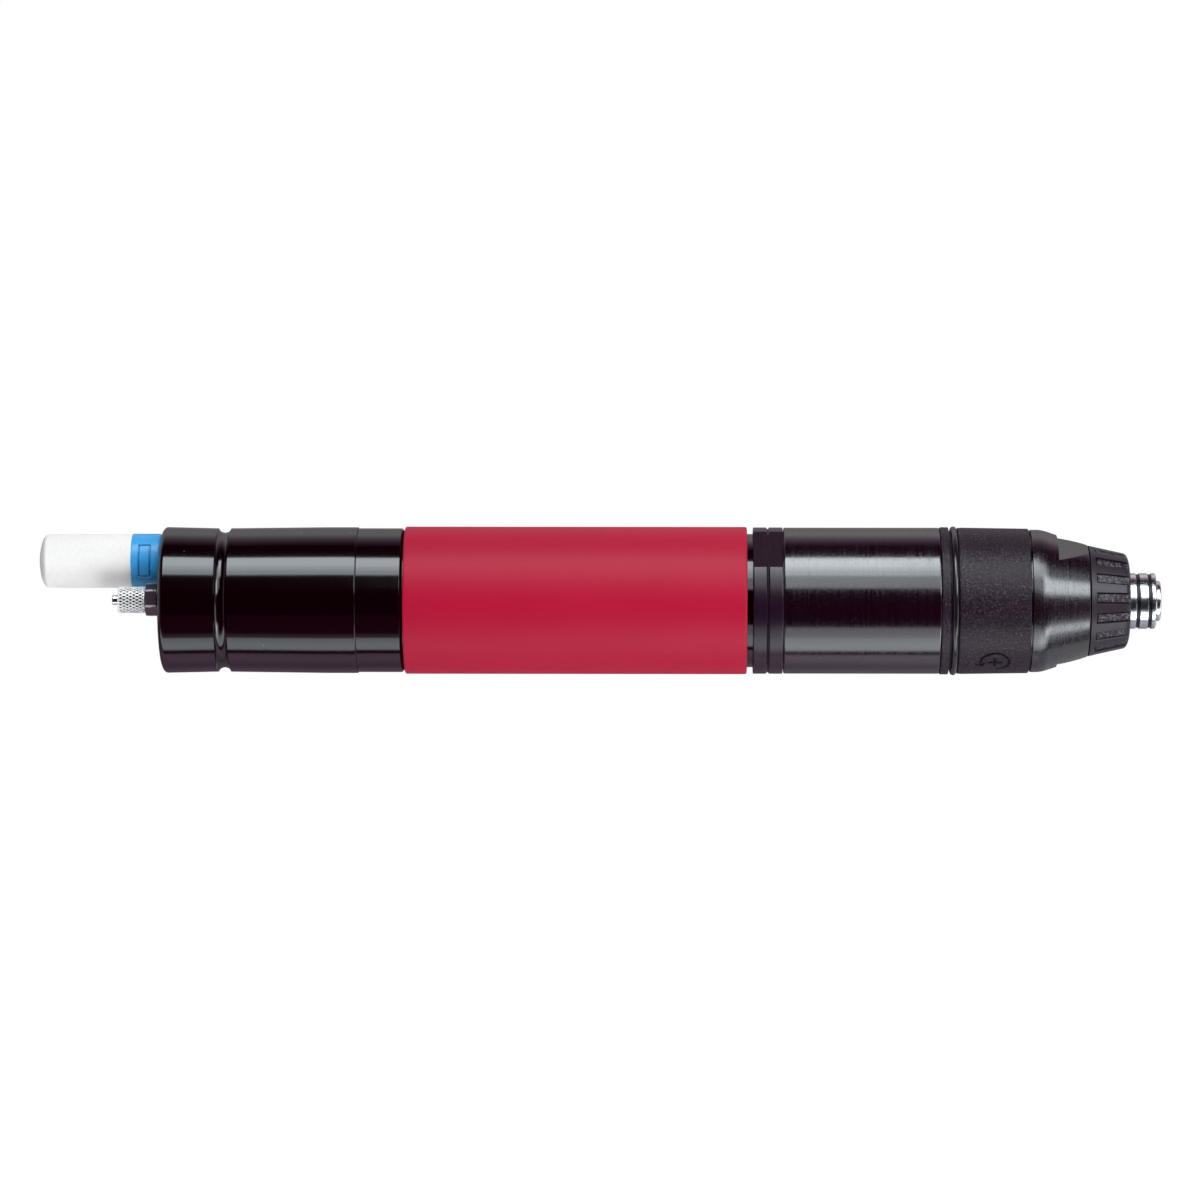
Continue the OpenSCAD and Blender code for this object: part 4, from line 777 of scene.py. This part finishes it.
grip = rounded([
    (X_MOTOR, GRIP_BORE, 0), (X_MOTOR, GRIP_R, 0.5), (X_GRIP, GRIP_R, 0.6), (X_GRIP, GRIP_BORE, 0)], 9)
piece("grip_sleeve", *lathe(refined(grip, 4.0), 320))

# Gear housing with its spanner flats
COLLAR_R, COLLAR_ACROSS, COLLAR_TURN = 18.05, 33.6, 41.5
X_GEARS, X_GEAR_WALL, X_GEAR_FRONT = -106.5, -98.0, -76.1
SHAFT_BORE, GEAR_BORE, GEAR_SPIGOT_R = 4.65, 14.57, 15.87


def collar_flats(x, r, a):
    """Outside of the collar, cut by its two spanner flats."""
    return np.minimum(r, two_flats(COLLAR_ACROSS, COLLAR_TURN, a))


gears = rounded([
    (X_GEARS, SHAFT_BORE, 0.2), (X_GEARS, SPIGOT_R, 0.3), (X_NECK, SPIGOT_R, 0), (X_NECK, COLLAR_R, 0.25),
    (-97.12, COLLAR_R, 0.06), (-96.7, 17.6, 0.05), (-96.28, COLLAR_R, 0.06), (X_COLLAR, COLLAR_R, 0.3),
    (X_COLLAR, GEAR_SPIGOT_R, 0), (X_GEAR_FRONT, GEAR_SPIGOT_R, 0.2), (X_GEAR_FRONT, GEAR_BORE, 0),
    (X_GEAR_WALL, GEAR_BORE, 0), (X_GEAR_WALL, SHAFT_BORE, 0)])
piece("gear_housing", *lathe(refined(gears, 1.0), 480, collar_flats), dressed=collar_finish)

# Clutch housing, with the key window in its spigot
X_SEAM, X_CLUTCH_REAR, X_CLUTCH_WALL = X_COLLAR + 0.2, -76.0, -70.0
CLUTCH_SEAT, CLUTCH_NECK_R, CLUTCH_LIP_R, CLUTCH_BORE, WALL_BORE = 15.92, 16.24, 15.24, 14.04, 9.06
WINDOW_MARGIN = 3.6
window_x = np.linspace(X_KEY - WINDOW_MARGIN, X_KEY + WINDOW_MARGIN, 25)
neck_x = np.concatenate([
    np.linspace(X_CLUTCH, window_x[0], 8)[1:-1], window_x, np.linspace(window_x[-1], X_WINDOW, 8)[1:]])
clutch = np.concatenate([
    rounded([(X_CLUTCH_REAR, CLUTCH_SEAT, 0), (X_SEAM, CLUTCH_SEAT, 0), (X_SEAM, BODY_R, 0.3),
             (X_CLUTCH, BODY_R, 0.3), (X_CLUTCH, CLUTCH_NECK_R, 0)]),
    level(neck_x, CLUTCH_NECK_R),
    [(X_WINDOW, CLUTCH_LIP_R), (X_CLUTCH_FRONT, CLUTCH_LIP_R), (X_CLUTCH_FRONT, CLUTCH_BORE)],
    level(neck_x[::-1], CLUTCH_BORE),
    [(X_CLUTCH_WALL, CLUTCH_BORE), (X_CLUTCH_WALL, WALL_BORE), (X_CLUTCH_REAR, WALL_BORE)]])
window_angles = finer(even(256), 0.0, WINDOW_MARGIN / 15.2, 0.02)
piece("clutch_housing", *pierced(clutch, window_angles, X_KEY, 0.0, KEY_R, WINDOW_MARGIN + 0.05))

# Window sleeve, with its key hole on the far side and a turning sign
SIGN_X, SIGN_A, SIGN_R, SIGN_HALF = -41.2, math.radians(147.5), 3.55, 0.3
SIGN_GAP, SIGN_GAP_HALF = math.radians(238), math.radians(40)
SIGN_DEPTH, SIGN_ROUND, PLUS_HALF = 0.35, 17.9, 1.7
KEY_HOLE_A = math.radians(240)
X_LIP, X_RING_SEAT, X_SHELL, X_SHELL_FRONT = -54.4, -52.3, -49.7, -32.55
LIP_R, RING_SEAT, SHELL_R, SHELL_FRONT_R, SHELL_BORE = 18.15, 16.75, 18.05, 17.8, 16.3
RING_X, RING_MEAN_R, RING_THICK_R = -51.0, 17.55, 0.8


def turning_sign(x, r, a):
    """How far the engraved sign is sunk, from 0 to 1: an open circle with an arrow head, round a plus.

    It follows the signed distance to the nearest of the three strokes, on the outside only.
    """
    u, s = x - SIGN_X, -(a - SIGN_A) * SIGN_ROUND
    from_gap = np.abs((np.arctan2(s, u) - SIGN_GAP + math.pi) % TURN - math.pi)
    circle = np.maximum(np.abs(np.hypot(u, s) - SIGN_R) - SIGN_HALF, (SIGN_GAP_HALF - from_gap) * SIGN_R)
    bar = np.maximum(np.abs(u) - PLUS_HALF, np.abs(s) - SIGN_HALF)
    post = np.maximum(np.abs(s) - PLUS_HALF, np.abs(u) - SIGN_HALF)
    end = SIGN_GAP - SIGN_GAP_HALF
    across = np.abs(u * math.cos(end) + s * math.sin(end) - SIGN_R)
    behind = u * math.sin(end) - s * math.cos(end) + 0.5
    arrow = np.maximum(np.abs(across - behind) * 0.71 - SIGN_HALF, np.abs(across - 0.55) - 0.65)
    nearest = np.minimum(np.minimum(circle, arrow), np.minimum(bar, post))
    return (r > 17.2) * smooth(0.09, -0.09, nearest)


def sunk_sign(x, r, a):
    """Outside of the sleeve, less the depth of its sign."""
    return r - SIGN_DEPTH * turning_sign(x, r, a)


sleeve_x = np.concatenate([
    np.linspace(X_SHELL, -46.9, 5)[1:], np.arange(-46.72, -36.3, 0.15), np.linspace(-36.2, -33.0, 8)])
sleeve_r = np.interp(sleeve_x, [X_SHELL, -32.3], [SHELL_R, SHELL_FRONT_R])
sleeve = np.concatenate([
    rounded([(X_LIP, SHELL_BORE, 0), (X_LIP, LIP_R, 0.35), (X_RING_SEAT, LIP_R, 0.12),
             (X_RING_SEAT, RING_SEAT, 0.1), (X_SHELL, RING_SEAT, 0.1), (X_SHELL, SHELL_R, 0.12)]),
    np.stack([sleeve_x, sleeve_r], 1),
    rounded([(-33.2, 17.81, 0), (X_SHELL_FRONT, SHELL_FRONT_R, 0.3), (X_SHELL_FRONT, SHELL_BORE, 0)])[1:],
    level(sleeve_x[::-1], SHELL_BORE)])
sleeve_angles = finer(finer(even(200), SIGN_A, 0.262, 0.0085), KEY_HOLE_A, WINDOW_MARGIN / 17.2, 0.02)
points, faces = pierced(sleeve, sleeve_angles, X_KEY, KEY_HOLE_A, KEY_R, WINDOW_MARGIN, shape=sunk_sign)
# The sign's depth also marks where painted shade goes.
piece("window_sleeve", points, faces, body="window_sleeve", marks=turning_sign(*polar(points)))

ring = np.radians(np.linspace(0, 360, 33)[:-1])
ring = np.stack([RING_X + RING_THICK_R * np.cos(ring), RING_MEAN_R + RING_THICK_R * np.sin(ring)], 1)
piece("sleeve_ring", *lathe(ring, 320), body="window_sleeve")

# Nose cone with its spanner flats
X_TAPER, X_FLATS, X_BUSH, X_NOSE_TIP = -29.4, -25.65, -19.2, -11.0
NOSE_R, NOSE_FRONT_R, NOSE_SEAT, CAP_SEAT, NOSE_BORE, BUSH_R = 17.55, 13.77, 15.29, 10.0, 7.25, 8.0
NOSE_ACROSS, NOSE_TURN = 27.0, 18.0


def nose_flats(x, r, a):
    """Front of the nose cone, cut by its two spanner flats."""
    return np.where(x > X_FLATS, np.minimum(r, two_flats(NOSE_ACROSS, NOSE_TURN, a)), r)


def cone(x):
    """Radius of the nose cone's taper at x."""
    return NOSE_R - (x - X_TAPER) * (NOSE_R - NOSE_FRONT_R) / (X_NOSE - X_TAPER)


nose = rounded([
    (X_CLUTCH_FRONT, NOSE_SEAT, 0), (X_WINDOW, NOSE_SEAT, 0), (X_WINDOW, NOSE_R, 0.34), (X_TAPER, NOSE_R, 11.5),
    (X_FLATS, cone(X_FLATS), 0), (X_FLATS + 0.01, cone(X_FLATS + 0.01), 0), (X_NOSE, cone(X_NOSE), 0.26),
    (X_NOSE, CAP_SEAT, 0), (X_NOSE_TIP, CAP_SEAT, 0.3), (X_NOSE_TIP, NOSE_BORE, 0), (X_BUSH, NOSE_BORE, 0),
    (X_BUSH, BUSH_R, 0), (X_CLUTCH_FRONT, BUSH_R, 0)], 9)
piece("nose_cone", *lathe(refined(nose, 0.5), 480, nose_flats), dressed=nose_finish, sharp=20.0)

# Ribbed cap
RIBS, RIB_TURN, RIB_HALF, RIB_DEPTH = 16, math.radians(19.3), 1.3, 0.42
X_CAP_REAR, X_RIB, X_CORNER, X_CAP_SEAT = -17.72, -16.45, -9.3, -10.6
CAP_R, CORNER_R, CAP_BORE, CAP_MOUTH = 13.65, 11.8, 10.06, 7.25
CHANNEL_DEPTH = 0.2


def cap_outside(x):
    """Radius of the cap's taper at x."""
    return CAP_R - (x - X_CAP_REAR) * (CAP_R - CORNER_R) / (X_CORNER - X_CAP_REAR)


def ribbed_cap(profile):
    """Grid of the cap: each recess keeps its width in millimetres along the taper.

    A column u from -1 to 1 lies within the recess at u times its half width, and outside it at an
    even share of what is left of the pitch. The recess is lower than the taper by its depth, and
    a narrow channel along its sides and rear end is lower still.
    """
    pitch = TURN / RIBS
    u = np.array([0.4, 0.75, 0.84, 0.93, 1, 1.06, 1.25, 1.6])
    u = np.concatenate([[-2], -u[::-1], [0], u])
    outside = profile[:, 1] > 9.0
    half = np.arcsin(RIB_HALF / np.where(outside, np.maximum(profile[:, 1], 11.0), 11.5))[:, None]
    beyond = half + (np.abs(u) - 1) * (pitch / 2 - half)
    offset = np.where(np.abs(u) <= 1, u * half, np.sign(u) * beyond)
    first = RIB_TURN + np.arange(RIBS) * pitch
    a = (offset[:, None, :] + first[None, :, None]).reshape(len(profile), -1)
    x = np.repeat(profile[:, :1], a.shape[1], 1)
    r = np.repeat(profile[:, 1:], a.shape[1], 1)
    side = np.tile(np.abs(u), RIBS)[None, :]
    recess = smooth(1.03, 0.92, side) * smooth(X_RIB - 0.03, X_RIB + 0.06, x) * outside[:, None]
    field = smooth(0.88, 0.76, side) * smooth(X_RIB + 0.2, X_RIB + 0.36, x) * recess
    sunk = cap_outside(x) - RIB_DEPTH * recess - CHANNEL_DEPTH * (recess - field)
    r = np.where(outside[:, None], np.minimum(r, sunk + 1e-4), r)
    return place(x, r, a).reshape(-1, 3), grid_faces(*a.shape).reshape(-1, 4), 2 * field - recess


front = np.radians(np.linspace(0, 90, 14))
cap_rows = np.sort(np.concatenate([
    np.linspace(-17.5, X_CORNER, 28), X_RIB + np.array([-0.05, -0.03, 0.06, 0.2, 0.36])]))
cap = np.concatenate([
    rounded([(X_CAP_REAR, CAP_BORE, 0), (X_CAP_REAR, CAP_R, 0.22), (-17.55, cap_outside(-17.55), 0)])[:-1],
    np.stack([cap_rows, cap_outside(cap_rows)], 1),
    np.stack([X_CORNER + (X_CAP - X_CORNER) * np.sin(front), 8.6 + 3.2 * np.cos(front)], 1)[1:],
    rounded([(X_CAP, 8.3, 0), (X_CAP, CAP_MOUTH, 0.25), (X_CAP_SEAT, CAP_MOUTH, 0),
             (X_CAP_SEAT, CAP_BORE, 0)])])
points, faces, marks = ribbed_cap(cap)
# Its marks also say where the finish paints shade in the channels and light specks in the recesses.
piece("front_cap", points, faces, body="front_cap", sharp=38.0, marks=marks)

# Chuck
X_CHUCK, CHUCK_R, CHUCK_GROOVE, CHUCK_BORE, CHUCK_LAND, CHUCK_MOUTH = -13.8, 6.85, 6.6, 5.9, 5.29, 4.66
chuck = rounded([
    (X_CHUCK, CHUCK_BORE, 0), (X_CHUCK, CHUCK_R, 0.2), (-6.22, CHUCK_R, 0.12), (-6.07, CHUCK_GROOVE, 0.08),
    (-5.37, CHUCK_GROOVE, 0.08), (-5.22, CHUCK_R, 0.12), (-3.31, CHUCK_R, 0.12), (-3.16, CHUCK_GROOVE, 0.08),
    (-2.46, CHUCK_GROOVE, 0.08), (-2.31, CHUCK_R, 0.1), (X_SLEEVE, CHUCK_R, 1.5), (X_SLEEVE, CHUCK_MOUTH, 0.05),
    (-2.4, CHUCK_MOUTH, 0), (-2.4, CHUCK_BORE, 0), (-5.4, CHUCK_BORE, 0), (-5.4, CHUCK_LAND, 0),
    (-9.15, CHUCK_LAND, 0), (-9.15, CHUCK_BORE, 0)], 8)
points, faces = lathe(refined(chuck, 0.8), 256)
x, r, _ = polar(points)
# Its grooves get painted shade: the finish's darker sunk colour goes where these marks are.
piece("chuck_sleeve", points, faces, body="chuck_sleeve", sharp=28.0,
      marks=smooth(6.82, 6.66, r) * (r > 6.3) * (x < -2.3))

BIT_ACROSS, SOCKET_MOUTH = 6.35, 3.82


def bit_socket(x, r, a):
    """Hexagonal socket: the bore's radius is the hexagon's, or the mouth cone's where that is wider."""
    bore = (r < 3.9) & (x > -13.01)
    return np.where(bore, np.maximum(hexagon(BIT_ACROSS, a), np.minimum(r, SOCKET_MOUTH + x)), r)


tip = rounded([
    (-22.8, 0.0, 0), (-22.8, 3.5, 0.3), (-14.3, 3.5, 0), (-14.3, 4.6, 0.1), (-1.1, 4.6, 0), (-1.1, 4.93, 0.1),
    (0.0, 4.93, 0.5), (0.0, SOCKET_MOUTH, 0.05), (-0.8, 3.02, 0), (-13.0, 3.02, 0), (-13.02, 0.0, 0)], 7)
piece("chuck_body", *lathe(refined(tip, 0.4), 240, bit_socket), body="spindle", sharp=28.0)

# Springs, wound as coils, each on its body, and the clutch spring on none
WIRE_SIDES, COIL_STEPS = 16, 48


def coil(rear, front, mean_r, wire_r, pitch):
    """Wire of a coil spring with closed ends.

    A circle of the wire's radius is carried along a helix. The helix rises by 2.1 wire radii in
    its first and last turns, and evenly in the live turns between them.
    """
    dead = 2.1 * wire_r
    live_len = front - rear - 2 * wire_r - 2 * dead
    live = max(1, int(live_len / pitch))
    t = np.linspace(0, live + 2, (live + 2) * COIL_STEPS + 1)
    rise = np.interp(t, [0, 1, live + 1, live + 2], [0, dead, dead + live_len, 2 * dead + live_len])
    b = even(WIRE_SIDES)
    a, r = TURN * t[:, None], mean_r + wire_r * np.cos(b)
    x = rear + wire_r + rise[:, None] + wire_r * np.sin(b)
    points = np.stack([x, r * np.cos(a), r * np.sin(a)], -1).reshape(-1, 3)
    walls = grid_faces(len(t), WIRE_SIDES)[:-1].reshape(-1, 4)
    first = np.arange(WIRE_SIDES)
    return points, [*walls.tolist(), first.tolist(), (first + len(points) - WIRE_SIDES).tolist()]


VALVE_REAR, VALVE_FRONT = X_VALVE_END, -210.5
START_REAR, START_FRONT = -69.45, -63.0
CHUCK_REAR, CHUCK_FRONT = -14.3, -9.2
CLUTCH_REAR, CLUTCH_FRONT = -55.4, -47.25

for node, rear, front, wound, held, body, joint in (
        ("valve_spring", VALVE_REAR, VALVE_FRONT, (2.45, 0.45, 2.0), VALVE_REAR, "body", "push_start"),
        ("start_spring", START_REAR, START_FRONT, (5.27, 0.5, 1.6), START_FRONT, "spindle", "push_start"),
        ("chuck_spring", CHUCK_REAR, CHUCK_FRONT, (5.25, 0.3, 1.1), CHUCK_REAR, "spindle",
         "chuck_sleeve_slide")):
    wire = piece(node, *coil(rear, front, *wound), body=body, sharp=60.0)
    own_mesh(wire)

wire = piece("clutch_spring", *coil(CLUTCH_REAR, CLUTCH_FRONT, 6.5, 0.75, 2.4), body=None, sharp=60.0)
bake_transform(wire)

# Studio, in metres
LAMP_TINT = (0.912, 1.0, 1.051)
WHITE = (1.0, 1.0, 1.0, 1.0)


def area_lamp(name, angle, along, away, tall, long, radiance, tint=LAMP_TINT):
    """Softbox that faces the tool's axis, at an angle in degrees above the line to the camera.

    along is its place along X and away its distance from the axis.
    """
    spot = Vector((0, -math.cos(math.radians(angle)), math.sin(math.radians(angle)))) * away
    return softbox(name, spot + Vector((along, 0, 0)), -spot, tall, long, radiance, tint)


def side_lamp(name, spot, size, radiance):
    """Square softbox beside the camera, aimed at the middle of the tool."""
    spot = Vector(spot)
    return softbox(name, spot, Vector((VIEW_CENTRE * MM, 0, 0)) - spot, size, size, radiance)


def softbox(name, spot, aim, tall, long, radiance, tint=LAMP_TINT):
    """Area lamp of one radiance: its power is radiance times pi times its area."""
    data = bpy.data.lights.new(name, "AREA")
    data.shape, data.size, data.size_y = "RECTANGLE", long, tall
    data.energy = radiance * math.pi * long * tall
    data.color = tint
    lamp = bpy.data.objects.new(name, data)
    bpy.context.scene.collection.objects.link(lamp)
    lamp.location = spot
    lamp.rotation_mode = "QUATERNION"
    lamp.rotation_quaternion = aim.to_track_quat("-Z", "Y")
    lamp.visible_camera = False
    return lamp


# The bands on the turned metal are the reflections of these lamps
area_lamp("softbox_above", 55.2, -0.187, 0.6, 0.33, 0.37, 5.2)
area_lamp("softbox_crown", 59.3, -0.187, 0.59, 0.236, 0.37, 1.6)
area_lamp("softbox_top", 62.5, -0.187, 0.58, 0.164, 0.37, 1.7)
area_lamp("softbox_low", 30.0, -0.098, 0.62, 0.24, 0.19, 2.6)
area_lamp("softbox_front", 26.5, 0.43, 0.66, 0.34, 0.5, 8.2)
area_lamp("softbox_between", 50.5, 0.12, 0.6, 0.28, 0.22, 4.5)
area_lamp("softbox_corner", 50.0, 0.32, 0.62, 0.24, 0.18, 1.8)
area_lamp("softbox_tip", 23.0, 0.045, 0.6, 0.2, 0.05, 4.0)
area_lamp("reflector_between", -63.0, 0.13, 0.45, 0.22, 0.24, 2.7)
area_lamp("glow_below", -38.0, -0.31, 0.5, 0.26, 0.26, 0.1, (1.0, 0.12, 0.6))
area_lamp("reflector_below", -72.3, -0.24, 0.22, 0.09, 0.6, 2.45)
area_lamp("reflector_edge", -57.0, -0.24, 0.225, 0.028, 0.6, 0.4, (1.0, 0.62, 0.82))
area_lamp("reflector_core", -74.0, -0.24, 0.215, 0.045, 0.6, 0.35)
area_lamp("reflector_front", -52.0, -0.06, 0.3, 0.11, 0.16, 1.5)
area_lamp("reflector_right", -55.5, 0.42, 0.62, 0.175, 0.36, 6.2)

# Fill light, which metal doesn't show, apart from the one on the right
fill_left = side_lamp("fill_left", (-1.05, -0.75, -0.35), 0.7, 2.6)
key_above = area_lamp("key_above", 78.0, -0.1, 0.3, 0.12, 0.16, 2.4)
key_below = side_lamp("key_below", (0.1, -0.45, -0.5), 0.25, 8.5)
side_lamp("fill_right", (0.95, -0.42, -0.4), 0.6, 1.6)
for lamp in (fill_left, key_above, key_below):
    lamp.visible_glossy = False

# World: white to the camera, and else a dark room, lighter behind the tool and at both sides
world = bpy.data.worlds.new("studio")
bpy.context.scene.world = world
world.use_nodes = True
tree = world.node_tree
tree.nodes.clear()
sky = tree.nodes.new("ShaderNodeBackground")
shown = tree.nodes.new("ShaderNodeOutputWorld")
tree.links.new(sky.outputs[0], shown.inputs[0])
heading = Socket(tree.nodes.new("ShaderNodeTexCoord").outputs["Generated"])
along, behind, height = [heading.add("ShaderNodeSeparateXYZ", {}, {0: heading}, axis) for axis in "XYZ"]
direct = heading.add("ShaderNodeLightPath", {}, {}, "Is Camera Ray")
room = behind.limits(0.1, 0.6) * height.limits(0.0, 0.7, 0.3, 0.62) + 0.005
room = room + along.math("ABSOLUTE").limits(0.7, 0.95) * 0.35
glossy = heading.add("ShaderNodeLightPath", {}, {}, "Is Glossy Ray")
# Matt surfaces get a faint light from below; metal shows the room brighter overhead than far behind
under = (1 - glossy) * (0 - height).limits(0.0, 0.8) * 0.05
mirrored = room * (1 + glossy * (behind.limits(0.6, 0.85, 1.36, 0.74) - 1))
tree.links.new((direct + (1 - direct) * (mirrored + under)).socket, sky.inputs["Strength"])
tint = (glossy * room.limits(0.6, 0.05)).mixed(WHITE, (1.0, 0.55, 0.93, 1.0))
tree.links.new(direct.mixed(tint, WHITE).socket, sky.inputs["Color"])

# Floor, well below the tool; metal shows it darker to the back and white below the bit
FLOOR_Z, FLOOR_FRONT, FLOOR_BACK, FLOOR_LEFT, FLOOR_RIGHT = -0.25, 0.01, 1.6, -1.6, 1.3
corners = [
    (FLOOR_LEFT, FLOOR_FRONT), (FLOOR_RIGHT, FLOOR_FRONT), (FLOOR_RIGHT, FLOOR_BACK), (FLOOR_LEFT, FLOOR_BACK)]
floor_mesh = bpy.data.meshes.new("floor")
floor_mesh.from_pydata([(*corner, FLOOR_Z) for corner in corners], [], [(0, 1, 2, 3)])
floor = bpy.data.objects.new("floor", floor_mesh)
bpy.context.scene.collection.objects.link(floor)
paper = bpy.data.materials.new("pale_floor")
paper.use_nodes = True
tree = paper.node_tree
tree.nodes.clear()
shown = tree.nodes.new("ShaderNodeOutputMaterial")
path = tree.nodes.new("ShaderNodeLightPath")
seen, glossy = [Socket(path.outputs[ray]) for ray in ("Is Camera Ray", "Is Glossy Ray")]
spot = Socket(tree.nodes.new("ShaderNodeTexCoord").outputs["Object"])
across, deep = [spot.add("ShaderNodeSeparateXYZ", {}, {0: spot}, axis) for axis in "XY"]
below_clutch = across.limits(-0.13, -0.06)
near = below_clutch.mixed((1.0, 0.62, 0.87, 1.0), (1.0, 0.88, 1.0, 1.0))
far = below_clutch.mixed((0.43, 0.3, 0.41, 1.0), (0.48, 0.4, 0.47, 1.0))
sheet = across.limits(-0.02, 0.01).mixed(deep.limits(0.045, 0.175).mixed(near, far), (0.52, 0.5, 0.54, 1.0))
sheet = across.limits(0.03, 0.12).mixed(sheet, WHITE)
matt = seen.add("ShaderNodeBsdfDiffuse", {}, {"Color": glossy.mixed((0.6, 0.6, 0.6, 1.0), sheet)})
glow = seen.add("ShaderNodeEmission", {}, {"Color": seen.mixed((0.0, 0.0, 0.0, 1.0), (0.9, 0.9, 0.9, 1.0))})
both = seen.add("ShaderNodeAddShader", {}, {0: matt, 1: glow})
tree.links.new(both.socket, shown.inputs[0])
floor_mesh.materials.append(paper)
